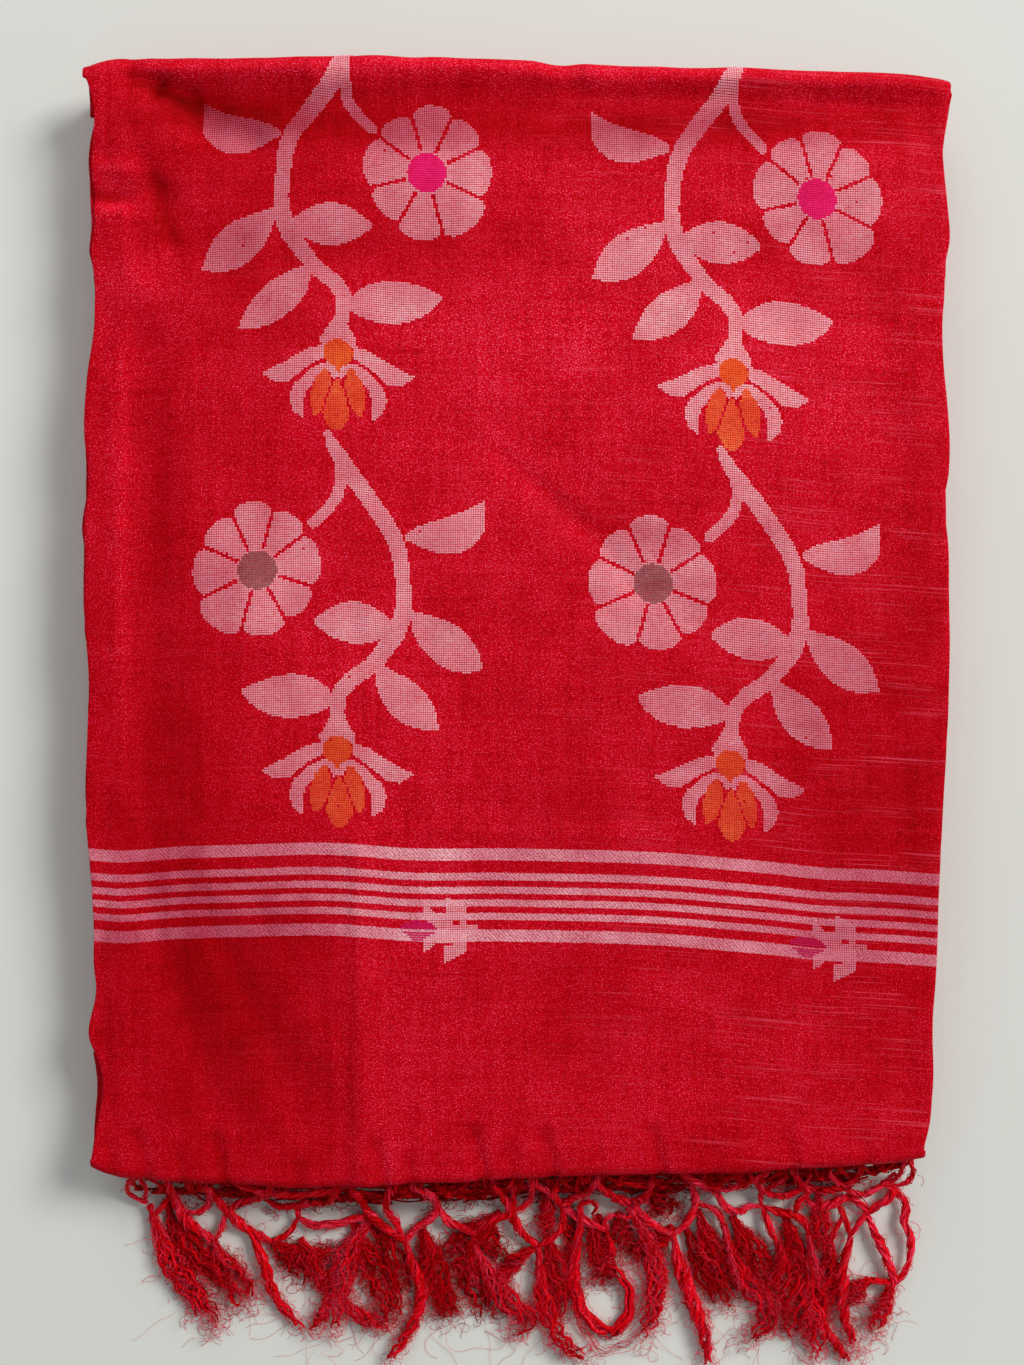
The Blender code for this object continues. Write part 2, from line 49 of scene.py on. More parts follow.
STACK_HEIGHT = 26.0
STRIP_WALL = 1.6
GAP = 0.3
HALF_WIDTH, HALF_LENGTH = 147.0, 190.0
FRONT_FOLD_RADIUS, BACK_FOLD_RADIUS = 3.6, 5.5
FRONT_FLAP, BACK_FLAP = 36.0, 15.0
TUCK_DROP = 2 * FRONT_FOLD_RADIUS + GAP

LEFT_EDGE = (  # y, x
    (-190, -145), (-170, -142.6), (-158, -142.2), (-140, -144.4), (-127, -142.6),
    (-100, -144.6), (-70, -146), (-40, -145.6), (-18, -145.4), (8, -146.8),
    (33, -147), (62, -146.7), (80, -145.6), (98, -143.2), (125, -145.2),
    (150, -143.6), (172, -144), (192, -148),
)
RIGHT_EDGE = (  # y, x
    (-190, 140), (-180, 138.6), (-166, 140.8), (-120, 142), (-90, 143.6),
    (-60, 145.4), (-20, 147), (10, 146.8), (50, 146.8), (85, 144.6),
    (105, 144.9), (125, 147), (150, 145), (165, 146.2), (178, 147.8), (192, 145.5),
)
BACK_EDGE = (  # x, y
    (-147, 187.5), (-138, 190.2), (-115, 190.6), (-72, 191), (-66, 192.2),
    (-20, 190.6), (5, 189.8), (17, 187.4), (26, 189), (60, 187.6),
    (110, 186), (136, 184), (147, 180.5),
)
FRONT_EDGE = (  # x, y
    (-147, -184), (-138, -188.6), (-122, -190.8), (-80, -192.8), (-35, -193.4),
    (0, -191), (50, -189), (90, -187), (120, -185), (140, -182),
)
LOW_AREAS = (  # x, y, half width, half length, drop
    (-105, -150, 70, 70, 3.2),
    (120, -150, 60, 90, 1.6),
    (-150, 40, 22, 170, 1.0),
    (30, -140, 26, 45, 0.8),
)
CREASES = (  # x0, y0, x1, y1, half width, depth
    (-100, 174, 152, 171, 11, 3.4),
    (-132, 184, -92, 162, 8, 2.6),
    (-146, 146, -118, 142, 6, 1.4),
    (-126, 118, -104, 152, 9, 1.0),
    (-128, 92, -126, -76, 9, 1.2),
    (-8, 62, 46, 14, 8, 0.9),
    (-54, -80, -52, -186, 7, -1.2),
    (-124, -100, -92, -182, 9, 1.0),
    (-98, -114, -64, -170, 8, 0.8),
)

# Curves and noise

NOISE_CELLS, NOISE_OFFSET = 64, 500


def along(rows, place):
    """The smooth curve through a table's rows, read at place."""
    known = np.array(rows, float)
    order = np.argsort(known[:, 0])
    at, value = known[order, 0], known[order, 1]
    slope = np.gradient(value, at)
    place = np.clip(place, at[0], at[-1])
    i = np.clip(np.searchsorted(at, place) - 1, 0, len(at) - 2)
    step = at[i + 1] - at[i]
    q = (place - at[i]) / step
    return (
        (2 * q**3 - 3 * q**2 + 1) * value[i]
        + (q**3 - 2 * q**2 + q) * slope[i] * step
        + (3 * q**2 - 2 * q**3) * value[i + 1]
        + (q**3 - q**2) * slope[i + 1] * step
    )


def smooth_step(value, low, high):
    q = np.clip((value - low) / (high - low), 0, 1)
    return q * q * (3 - 2 * q)


def mixed(a, b, share):
    return a + (b - a) * share


def noise(x, y, size, seed):
    """Smooth noise from -1 to 1 whose bumps are about size across."""
    table = np.random.RandomState(seed).uniform(-1, 1, (NOISE_CELLS, NOISE_CELLS))
    gx, gy = (np.asarray(each, float) / size + NOISE_OFFSET for each in (x, y))
    ix, iy = np.floor(gx).astype(int), np.floor(gy).astype(int)
    fx, fy = smooth_step(gx - ix, 0, 1), smooth_step(gy - iy, 0, 1)
    corners = ((0, 0), (1, 0), (0, 1), (1, 1))
    a, b, c, d = (table[(ix + i) % NOISE_CELLS, (iy + j) % NOISE_CELLS] for i, j in corners)
    return mixed(mixed(a, b, fx), mixed(c, d, fx), fy)


def edge_x(across, y):
    return mixed(along(LEFT_EDGE, y), along(RIGHT_EDGE, y), across)


def front_y(x):
    return along(FRONT_EDGE, x)


def back_y(x):
    return along(BACK_EDGE, x)


def inside(across, up, front_in=0.0, back_in=0.0):
    x = edge_x(across, mixed(-HALF_LENGTH + front_in, HALF_LENGTH - back_in, up))
    return x, mixed(front_y(x) + front_in, back_y(x) - back_in, up)


def from_line(x, y, x0, y0, x1, y1):
    """How far away a straight line is, and the share along it that is nearest."""
    run_x, run_y = x1 - x0, y1 - y0
    share = np.clip(((x - x0) * run_x + (y - y0) * run_y) / (run_x**2 + run_y**2), 0, 1)
    return np.hypot(x - x0 - share * run_x, y - y0 - share * run_y), share


def soft_line(x, y, x0, y0, x1, y1, half_width):
    """1 on the line and 0 away from it, softly."""
    return np.exp(-((from_line(x, y, x0, y0, x1, y1)[0] / half_width) ** 2))


def soft_lines(x, y, rows):
    """A table's soft lines together, each times its last number."""
    return sum(row[5] * soft_line(x, y, *row[:5]) for row in rows)


def soft_areas(x, y, rows):
    """A table's soft ovals together, each times its last number."""
    total = 0.0
    for x0, y0, half_width, half_length, amount in rows:
        total = total + amount * np.exp(-(((x - x0) / half_width) ** 2) - ((y - y0) / half_length) ** 2)
    return total


def top_height(x, y):
    """The height that the solid has too."""
    return STACK_HEIGHT - soft_lines(x, y, CREASES) - soft_areas(x, y, LOW_AREAS)


def front_height(x):
    return top_height(x, front_y(x) + FRONT_FOLD_RADIUS)


def back_height(x):
    return top_height(x, back_y(x) - BACK_FOLD_RADIUS)


# Meshes


def make_mesh(name, points, faces, material, uv=None, bake_uv=None, extra=None, shade=None):
    """An object from points in the cloth's frame. The maps hold one pair for each point.

    Faces all have the same number of sides, and so do the extra ones. Shade is the painted light and shade,
    with mottle, at each point.
    """
    points = np.asarray(points, float).reshape(-1, 3)
    placed = points + np.array([SHIFT_X, SHIFT_Y, 0.0])
    groups = [np.asarray(group) for group in (faces, extra) if group is not None]
    corners = np.concatenate([group.ravel() for group in groups])
    sizes = np.concatenate([np.full(len(group), group.shape[1]) for group in groups])
    mesh = bpy.data.meshes.new(name)
    mesh.vertices.add(len(placed))
    mesh.vertices.foreach_set("co", (placed * MM).ravel())
    mesh.loops.add(len(corners))
    mesh.loops.foreach_set("vertex_index", corners)
    mesh.polygons.add(len(sizes))
    mesh.polygons.foreach_set("loop_start", np.r_[0, np.cumsum(sizes)[:-1]])
    for map_name, values in (("cloth", uv), ("OFBake", bake_uv)):
        if values is not None:
            layer = mesh.uv_layers.new(name=map_name)
            layer.data.foreach_set("uv", np.asarray(values, float)[corners].ravel())
    # Painted light and shade for each point, which the shader multiplies into the colour.
    if shade is not None:
        lightness = mesh.attributes.new("painted_light_and_mottle", "FLOAT", "POINT")
        lightness.data.foreach_set("value", np.broadcast_to(shade, len(points)).astype(np.float32))
    mesh.update(calc_edges=True)
    mesh.polygons.foreach_set("use_smooth", np.full(len(sizes), True))
    mesh.materials.append(material)
    obj = bpy.data.objects.new(name, mesh)
    bpy.context.scene.collection.objects.link(obj)
    return obj


def grid_faces(rows, columns):
    """Quads of a grid of points whose last column is joined to the first."""
    r = np.arange(rows - 1)[:, None]
    c = np.arange(columns)[None, :]
    d = (c + 1) % columns
    quads = np.stack([r * columns + c, r * columns + d, (r + 1) * columns + d, (r + 1) * columns + c], -1)
    return quads.reshape(-1, 4)


# The cloth on top

TOP_COLUMNS, TOP_ROWS = 170, 225
LAYERS = 4
BACK_TRIM = (  # x, how far the cloth stands out past the solid's back edge
    (-147, 0.7), (-114, 0.7), (-100, 1.1), (-88, 1.9), (-76, 1.6), (-66, 0.0), (-58, -0.7), (-46, -0.3),
    (-36, 0.0), (-28, 1.0), (-14, 1.0), (-4, 0.5), (10, 1.0), (20, 1.6), (28, 0.0), (36, -0.5), (46, 0.2),
    (60, 0.8), (72, 1.3), (90, 0.9), (106, 0.9), (122, 1.3), (131, 1.7), (138, 2.4), (144, 3.6), (148, 3.8),
)
FRONT_TRIM = (  # x, how far it stands out past the front edge
    (-148, 2.5), (-140, 2.0), (-129, 1.0), (-120, 1.5), (-108, 1.3), (-90, 1.5), (-75, 2.1), (-61, 0.8),
    (-45, 0.5), (-34, -0.4), (-20, 0.3), (0, 0), (27, 0), (45, 0.6), (61, 1.1), (80, 1.6), (100, 1.2),
    (116, 1.7), (124, 2.3), (138, 2.4), (147, 2.0),
)
LEFT_TRIM = (  # y, how far it lies inside the left edge
    (-190, 0), (-169, 0.8), (-160, 1.6), (-150, 0.2), (-144, -1.3), (-132, 0.5), (-118, -0.9), (-104, 0.5),
    (-70, 0.4), (-50, 0.1), (-30, 0.6), (0, 0), (20, 1.0), (33, 0.8), (43, 2.0), (52, 1.8), (60, 0.6),
    (80, 0), (102, 0.4), (119, 1.7), (125, 1.2), (131, 2.0), (146, 0.4), (156, -0.3), (174, 1.3), (190, 0),
)
RIGHT_TRIM = (  # y, how far it stands out past the right edge
    (-178, -1.0), (-172, 1.6), (-160, 0.7), (-138, -0.6), (-123, 0.6), (-90, 0), (-30, -0.4), (24, -0.5),
    (42, -1.6), (49, -0.2), (56, 0.6), (74, 1.0), (84, 0.2), (106, -1.0), (121, -1.6), (128, 0.4),
    (137, 1.0), (150, -0.3), (158, -1.7), (166, -1.3), (172, 0), (178, 2.3), (184, 1.5), (190, 1.0),
)
TICKS = (  # x, lean, depth and length of the short gathers at the front fold
    (-136, -3, 0.7, 10), (-124, -5, 1.1, 15), (-112, -3, 0.6, 9), (-97, -6, 1.2, 16), (-72, -3, 0.5, 9),
    (-43, -5, 1.2, 15), (-34, -3, 0.7, 9), (-9, -6, 1.4, 17), (0, -3, 0.6, 10), (15, -6, 1.2, 15),
    (30, -3, 0.5, 10), (52, -6, 1.1, 15), (70, -3, 0.5, 9), (96, -4, 0.7, 12), (121, -3, 0.5, 9),
)
FINE_CREASES = (  # x0, y0, x1, y1, half width, depth
    (-142, 189, -72, 188.8, 6, -1.8), (-50, 188, 24, 187, 5, -0.9), (50, 186, 140, 183, 5, -1.2),
    (-131, 185.6, -121, 181, 2.4, 1.7), (-121, 181, -110, 177.2, 3.0, 2.1), (-110, 177, -70, 172, 6, 1.2),
    (-70, 178, 20, 178, 4, 0.5), (20, 178, 140, 174, 3.4, 0.9), (-100, 166, 60, 163, 6, -0.5),
    (-145, 142.8, -133, 142, 2.0, 1.5), (-144, 128, -131, 131, 3.4, 0.7), (-146, 160, -138, 156, 3, 0.8),
    (-128, 157, -122, 146, 3.6, 1.1), (-122, 146, -116, 126, 2.8, 1.3), (-136, 128, -128, 112, 5, -1.1),
    (-143, 137.4, -134, 137, 2.4, -0.9), (-136, 153, -130, 150, 3, -0.8), (-112, 134, -106, 120, 4, 0.6),
    (-52, -71.4, 50, -72.4, 2.2, -0.35),
    (-122, 172, -112, 160, 6, -0.8), (-143, 112, -138, 98, 3, 0.6),
    (-134, 96, -135, 30, 3.6, -1.1), (-135, 30, -133, -62, 3.4, -0.9), (-121, 62, -121, -40, 7, 0.9),
    (-116, -40, -118, -96, 7, 0.6), (-12, 64, 18, 42, 3.6, -0.65), (18, 42, 48, 14, 3.6, -0.55),
    (-6, 56, 22, 32, 3.4, 0.65), (22, 32, 42, 8, 4, 0.55), (-108, -96, -74, -170, 5, 0.8),
    (-128, -88, -104, -168, 5, 0.9), (-92, -92, -62, -140, 4, 0.5), (-54.4, -72, -53, -188, 1.7, -0.25),
    (-58.5, -84, -57.5, -186, 3.2, 0.6), (-141, -60, -141, -176, 3.4, 0.8), (10, -124, 30, -146, 10, 0.8),
    (84, -30, 96, -100, 12, 0.5), (-30, 126, -60, 118, 8, 0.7), (-80, 120, -30, 130, 7, 0.5),
    (60, 112, 96, 60, 14, -0.5), (112, 150, 126, 60, 8, 0.5), (132, 130, 139, 20, 5, -0.5),
    (130, -50, 134, -160, 5, 0.6), (-10, -30, 70, -52, 12, 0.4), (-80, -2, -20, -12, 9, 0.3),
    (138, 170, 146, 150, 3, 0.7), (100, 176, 130, 172, 4, 0.5),
)
SHADES = (  # x, y, half width, half length, and the painted light or shade there: how much lighter or darker the cloth is painted
    (42, 101, 62, 30, 0.13), (97, 72, 36, 30, 0.10), (-12, 60, 26, 20, 0.07), (-40, 92, 30, 16, 0.06),
    (-89, 18, 22, 18, 0.07), (-26, -92, 16, 34, 0.08), (-20, -150, 30, 30, 0.05), (-44, -114, 14, 50, 0.06),
    (-72, -145, 26, 42, -0.11), (-112, -140, 26, 44, -0.23), (-90, -100, 36, 20, -0.10),
    (-118, -44, 25, 56, -0.19), (-120, 42, 10, 34, -0.13), (19, -138, 15, 18, -0.14),
    (122, -56, 38, 62, -0.21), (126, -140, 26, 60, -0.08), (18, -68, 26, 20, -0.09), (138, 40, 9, 120, -0.11),
    (60, -30, 60, 40, -0.04), (46, 30, 40, 12, -0.05), (0, -186, 150, 6, -0.07),
    (-96, 150, 30, 24, -0.09), (-92, 128, 14, 18, -0.10), (-30, 125, 56, 9, -0.15), (100, 118, 40, 12, -0.11),
    (20, 134, 36, 12, 0.05), (0, 163, 136, 7, -0.12), (-104, 171, 30, 8, -0.36), (-50, 170, 44, 8, -0.31),
    (75, 169, 76, 8, -0.33), (-18, 180, 62, 5, -0.18), (20, 187, 130, 5, 0.16), (-113, 186, 10, 2.5, 0.10),
    (-120, 145, 6, 16, -0.17), (-137, 138, 8, 4, 0.13), (-116, 164, 8, 6, 0.12), (-140, 142.4, 6, 1.6, -0.24),
    (-137, 154, 5, 4, 0.13), (-124, 117, 12, 8, 0.17), (-135, 165, 6, 7, -0.10),
)
SHADE_LINES = (  # x0, y0, x1, y1, half width, and the painted light or shade along the line: how much lighter or darker the cloth is painted
    (-131, 185, -121, 179.6, 2.2, -0.42), (-121, 179.6, -109, 175.2, 2.8, -0.46),
    (-109, 175.2, -96, 174, 3, -0.16), (-144, 145.4, -136, 142, 1.5, -0.24),
    (-124, 149, -117, 130, 2.6, -0.16), (-117, 130, -112, 121, 3, -0.10),
    (-134, 168, -130, 160, 2.4, 0.08), (-52, -71.6, 50, -72.6, 1.3, 0.07), (-59, -84, -58, -186, 3.6, 0.07),
    (-6, 62, 44, 15, 2.6, 0.05), (-126, -92, -106, -160, 4, 0.05), (-112, -98, -92, -150, 5, -0.05),
)

ROUGH_WIDTH, ROUGH_LENGTH = 290, 380  # the folded rectangle, for waves along it
BACK_FADE, FRONT_FADE, SIDE_FADE = (150, 184), (150, 182), (126, 142)  # where a trim sets in and is full

FINE_RELIEF, GATHER_RELIEF = 0.85, 1.5
# The painted light and shade: its level and limits, with a random mottle and thread streaks on it.
PAINTED_LIGHT_LEVEL = 1.015
MOTTLE_PATCHES = ((0.03, 40, 91), (0.045, 14, 92), (0.05, 6, 95))  # strength, size, seed
THREAD_STREAKS = 0.035
PAINTED_LIGHT_LIMITS = (0.3, 1.5)
PRESSED_EDGE = (53.6, 56.0)  # where the painted shade of the pressed part begins, left of the middle
RIDGE_X, RIDGE_HALF_WIDTH = -134.5, 3.4  # the ridge along the left side, which gets a painted highlight
LAYER_BULGE, LAYER_WANDER = 0.22, 0.35


def gathers(x, y, aside, below, share, half_width):
    """The short gathers at the front fold as soft lines, moved aside and begun below the edge."""
    total = 0.0
    for x0, lean, depth, reach in TICKS:
        foot = front_y(np.array(float(x0)))
        line = (x0 + aside, foot - below, x0 + lean + aside, foot + share * reach)
        total = total + depth * soft_line(x, y, *line, half_width)
    return total


def surface_height(x, y):
    """The solid's height with the finer relief that only the look has."""
    relief = FINE_RELIEF * soft_lines(x, y, FINE_CREASES) + GATHER_RELIEF * gathers(x, y, 0, 4, 1.0, 2.0)
    ripple = (0.20 + 0.25 * smooth_step(-x, 20, 130)) * noise(x, y, 22, 3)
    ripple = ripple + 0.12 * noise(x, y, 10, 4) + 0.07 * noise(x, 0.5 * y, 5, 5)
    return top_height(x, y) - relief + ripple


def painted_light_and_mottle(x, y):
    """The painted light and shade of the cloth at a place, round 1, with a random mottle and thread streaks
    on it.
    """
    # Painted light and shade: soft lighter and darker areas and lines.
    value = PAINTED_LIGHT_LEVEL + soft_areas(x, y, SHADES) + soft_lines(x, y, SHADE_LINES)
    for amount, size, seed in MOTTLE_PATCHES:
        value = value + amount * noise(x, y, size, seed)
    upright = smooth_step(-x, -60, 50)
    value = value + THREAD_STREAKS * upright * noise(x, 0.06 * y, 4.0, 93)
    value = value + THREAD_STREAKS * (1 - 0.7 * upright) * noise(0.14 * x, y, 2.8, 94)
    # Painted shade: darker towards the front and the left, where the light falls off.
    value = value - 0.07 * smooth_step(-y, 20, 90) - 0.06 * smooth_step(-x, 40, 100)
    # Painted shade on one side of each gather at the front fold, painted light on the other.
    value = value - 0.15 * gathers(x, y, -1, 6, 1.0, 2.2) + 0.10 * gathers(x, y, 3, 6, 0.8, 2.0)
    # Painted shade over the pressed part left of the middle, and a painted highlight along the left ridge.
    pressed = smooth_step(-x, *PRESSED_EDGE) * smooth_step(-y, 70, 110) * smooth_step(x, -120, -70)
    ridge = np.exp(-(((x - RIDGE_X) / RIDGE_HALF_WIDTH) ** 2))
    ridge = ridge * smooth_step(y, -70, -20) * (1 - smooth_step(y, 80, 100))
    return np.clip(value - 0.05 * pressed + 0.18 * ridge, *PAINTED_LIGHT_LIMITS)


def top_path():
    """The rows of the top stretch: for each, the part of the path and the share along it."""
    even = np.linspace(0, 1, TOP_ROWS)
    shares = {
        "front flap": np.linspace(0, 1, 8)[:-1],
        "front fold": np.linspace(0, 1, 14)[:-1],
        "top": even + 0.1 * np.sin(math.pi * even),
        "back fold": np.linspace(0, 1, 16)[1:],
        "back flap": np.linspace(0, 1, 5)[1:],
    }
    return [(part, share) for part, row in shares.items() for share in row]


def trimmed(x, y):
    """Move a place near an edge out or in to the cloth's own uneven edge."""
    up = along(BACK_TRIM, x) * smooth_step(y, *BACK_FADE)
    up = up - along(FRONT_TRIM, x) * smooth_step(-y, *FRONT_FADE)
    aside = along(LEFT_TRIM, y) * smooth_step(-x, *SIDE_FADE)
    aside = aside + along(RIGHT_TRIM, y) * smooth_step(x, *SIDE_FADE)
    return x + aside, y + up


def folded_row(across, part, share):
    """One row of points across the top stretch."""
    if part == "top":
        x, y = inside(across, share, FRONT_FOLD_RADIUS, BACK_FOLD_RADIUS)
        return x, y, surface_height(x, y)
    front = part.startswith("front")
    inward, radius = (1, FRONT_FOLD_RADIUS) if front else (-1, BACK_FOLD_RADIUS)
    x, y = inside(across, 0.0 if front else 1.0)
    high = surface_height(x, y + inward * radius)
    if part.endswith("flap"):
        ends = (FRONT_FLAP, radius) if front else (radius, BACK_FLAP)
        return x, y + inward * mixed(*ends, share), high - 2 * radius
    turn = math.pi * share
    wave = 0.35 * noise(across * ROUGH_WIDTH, 0, 16, 8)
    y = y + inward * (radius * (1 - math.sin(turn)) - wave * math.sin(turn))
    return x, y, high - radius * (1 + inward * math.cos(turn))


def grid_normals(points):
    """Unit normals of a grid of points, rows by columns."""
    by_row = np.gradient(points, axis=0)
    by_column = np.gradient(points, axis=1)
    normal = np.cross(by_column, by_row)
    return normal / np.maximum(np.linalg.norm(normal, axis=2, keepdims=True), 1e-9)


def layered_shell(outer, seed, inner_step):
    """Close a grid into a slab whose two long sides show the edges of its layers.

    Each row becomes a loop: the outer points, the right side, the inner points and the left side.
    Returns the loops, and the place across of each of a loop's points, in columns.
    """
    columns = outer.shape[1]
    down = grid_normals(outer) * STRIP_WALL
    inner_index = np.arange(columns - 1, -1, -inner_step)
    depth = (np.arange(1, 4 * LAYERS) / (4 * LAYERS))[None, :]
    bulge = np.sin(np.pi * ((depth * LAYERS) % 1.0)) ** 0.6
    layer = np.floor(depth * LAYERS)
    row_place = np.cumsum(np.r_[0, np.linalg.norm(np.diff(outer[:, columns // 2], axis=0), axis=1)])
    sides = []
    for column, beside, extra in ((columns - 1, columns - 2, 0), (0, 1, 50)):
        out = outer[:, column] - outer[:, beside]
        out = out / np.linalg.norm(out, axis=1, keepdims=True)
        shift = LAYER_WANDER * noise(row_place[:, None], layer * 40 + extra, 14, seed)
        amount = bulge * (LAYER_BULGE * (1 + shift) + LAYER_WANDER * shift)
        side = outer[:, column, None] - down[:, column, None] * depth[..., None]
        sides.append(side + out[:, None] * amount[..., None])
    inner = outer[:, inner_index] - down[:, inner_index]
    loops = np.concatenate([outer, sides[0], inner, sides[1][:, ::-1]], axis=1)
    return loops, np.concatenate([np.arange(columns), columns - 1 + depth[0], inner_index, -depth[0][::-1]])


def end_caps(rows, count):
    """Fans that close the first and last loop. The middle points are added by the caller."""
    c = np.arange(count)
    d = (c + 1) % count
    last = (rows - 1) * count
    lower = np.stack([d, c, np.full(count, rows * count)], -1)
    upper = np.stack([last + c, last + d, np.full(count, rows * count + 1)], -1)
    return np.concatenate([lower, upper])


def make_slab(name, outer, seed, material, cloth_uv, inner_step=4):
    """A layered shell as an object. cloth_uv holds the woven place of each outer point."""
    loops, across = layered_shell(outer, seed, inner_step)
    rows, count, _ = loops.shape
    columns = outer.shape[1]
    column = np.clip(np.rint(across), 0, columns - 1).astype(int)
    uv = cloth_uv[:, column].copy()
    uv[..., 0] += (across - column)[None, :] * MM
    bake = np.empty((rows, count, 2))
    bake[:, :columns, 0] = np.linspace(0.002, 0.80, columns)
    bake[:, columns:, 0] = np.linspace(0.801, 0.998, count - columns)
    bake[..., 1] = np.linspace(0.002, 0.998, rows)[:, None]
    points = np.concatenate([loops.reshape(-1, 3), [loops[0].mean(0), loops[-1].mean(0)]])
    uv, bake = (np.concatenate([each.reshape(-1, 2), each[0, :1], each[-1, :1]]) for each in (uv, bake))
    # Painted light and shade, with mottle, at each point.
    shade = painted_light_and_mottle(points[:, 0], points[:, 1])
    faces = grid_faces(rows, count)
    return make_mesh(name, points, faces, material, uv, bake, end_caps(rows, count), shade)


# The weave's own frame: u runs across, and v runs down from the first stripe's upper edge
WEFT_BOW = (  # x, how far the weft is bowed down there
    (-145, 0), (-137, -0.7), (-112, 0.7), (-90, 1.4), (-68, 2.0), (-54.4, 1.6),
    (-41, 0.4), (-5, 0.1), (14, -0.2), (33, -0.6), (54, -1.6), (70, -3.0),
    (87, -4.6), (103, -6.4), (119, -7.0), (145, -8.8),
)
STRIPE_TOP = -78.2


def woven_v(x, y):
    """The place along the warp, in millimetres below the upper edge of the first stripe."""
    return STRIPE_TOP + along(WEFT_BOW, x) - y


def build_top(material):
    path = top_path()
    across = np.linspace(0, 1, TOP_COLUMNS)
    rows = [folded_row(across, part, share) for part, share in path]
    outer = np.array([np.stack([*trimmed(x, y), z], -1) for x, y, z in rows])
    on_top = [row for row, (part, _) in enumerate(path) if part == "top"]
    step = np.linalg.norm(np.diff(outer, axis=0), axis=2)
    v = woven_v(outer[..., 0], outer[..., 1])
    for row in range(on_top[0] - 1, -1, -1):
        v[row] = v[row + 1] + step[row]
    for row in range(on_top[-1] + 1, len(path)):
        v[row] = v[row - 1] - step[row - 1]
    return make_slab("top_cloth", outer, 11, material, np.stack([outer[..., 0], v], -1) * MM)


# The inlaid vines

PINK, KNOB, PETAL, MAGENTA, GREY, WINE = 1, 2, 3, 4, 5, 6
CELL = 0.77
COPIES = (  # axis, top down the warp, mirrored or not, disc, flower x and y, drift of the upper part, beat
    (-60.5, -139.2, 1, GREY, -27.2, 46.6, 0.0, 0.993),
    (-60.2, -274.4, -1, MAGENTA, -30.0, 45.4, -3.2, 1.0),
    (72.6, -138.6, 1, GREY, -26.1, 48.4, 1.2, 0.985),
    (73.6, -272.8, -1, MAGENTA, -28.4, 46.4, -1.6, 1.0),
)
STEM = (  # x, y, half width
    (-3.4, 0.4, 1.3), (-1.6, 4.4, 2.2), (1.6, 9.8, 2.9), (4.6, 14.2, 3.0), (9.4, 20.3, 3.0),
    (14.2, 26.8, 3.0), (18.6, 33.4, 2.9), (20.9, 39.1, 2.8), (21.9, 46, 2.6), (22.6, 55, 2.6),
    (22.3, 60.6, 3.0), (19.8, 67.4, 3.1), (15.6, 73.6, 2.8), (11.4, 79.0, 2.7), (4.4, 84.4, 2.7),
    (0.7, 89.0, 2.6), (0.0, 94.6, 2.5), (0.0, 100.4, 2.6),
)
FLOWER_BRANCH = (  # x, y, half width
    (1.4, 11.6, 2.3), (1.0, 17.4, 1.9), (0.0, 21.6, 2.0), (-3.4, 26.4, 2.0), (-8.2, 31.2, 1.8),
)
LEAVES = (  # the upper side from end to end, then the lower side
    ((23.0, 33.4), (29.8, 29.4), (38.8, 26.6), (49.6, 21.6),
        (23.0, 35.2), (29.2, 37.8), (39.8, 39.7), (49.6, 32.0)),
    ((18.2, 62.6), (10.7, 58.2), (2.2, 57.9), (-7.8, 63.6),
        (17.0, 67.6), (9.4, 71.6), (0.5, 70.9), (-7.8, 65.4)),
    ((24.4, 58.6), (33.6, 61.2), (43.0, 66.2), (49.4, 79.0),
        (25.0, 64.0), (28.4, 71.6), (36.6, 78.8), (49.2, 79.3)),
    ((15.2, 78.4), (22.6, 81.7), (30.0, 87.2), (34.4, 99.4),
        (12.8, 80.6), (14.3, 89.0), (21.1, 97.0), (34.2, 99.8)),
    ((-1.7, 89.2), (-10.2, 83.2), (-20.8, 82.9), (-32.4, 87.2),
        (-1.7, 93.2), (-10.4, 96.8), (-22.1, 96.6), (-32.3, 88.6)),
)
PETALS = (  # angle where it starts, radius
    (36, 21.9), (75, 23.3), (114, 21.7), (155, 21.9), (206, 24.2), (255, 22.7), (299, 20.9), (342, 21.7),
)
DISC = 6.7
COLLAR = (
    (-2.6, 97.5), (2.6, 97.5), (4.2, 100.4), (6.4, 103.6),
    (5.6, 106.2), (-5.6, 106.2), (-6.3, 103.6), (-4.2, 100.4),
)
UPPER_SEPAL = (
    (-5.0, 105.6), (-10.8, 107.2), (-18.6, 111.4), (-26.0, 114.8), (-23.4, 116.8), (-21.0, 118.2),
    (-16.4, 117.8), (-13.4, 115.2), (-9.0, 112.2), (-5.0, 110.0),
)
LOWER_SEPAL = (  # x, y, half width
    (-2.2, 113.0, 1.7), (-5.6, 113.9, 2.0), (-9.4, 116.2, 2.3), (-12.6, 119.6, 2.5), (-14.0, 123.2, 2.5),
    (-13.6, 126.8, 2.0), (-12.0, 130.0, 0.5),
)
PARTING = ((-4.6, 110.9, 0.42), (-9.6, 113.4, 0.42), (-14.2, 117.6, 0.5))  # x, y, half width
SIDE_PETAL = (  # x, y, half width
    (-4.4, 115.2, 1.5), (-5.2, 118.4, 2.9), (-6.0, 122.4, 3.3), (-6.8, 126.2, 2.3), (-7.6, 129.0, 0.8),
)
THROAT = ((-3.2, 112.6), (3.2, 112.6), (2.6, 115.6), (1.2, 117.6), (-1.2, 117.6), (-2.6, 115.6))
CENTRE_PETAL = (  # x, y, half width
    (0.4, 118.2, 0.9), (0.4, 121.6, 2.4), (0.5, 125.4, 3.6), (0.6, 128.8, 4.6), (0.6, 131.6, 3.2),
    (0.7, 134.0, 0.9),
)
CENTRE_GAP = 0.62
PETAL_LINE = 0.58  # half the width of the line between two petals
PETAL_DIP, PETAL_ROUNDING = 0.12, 3.2
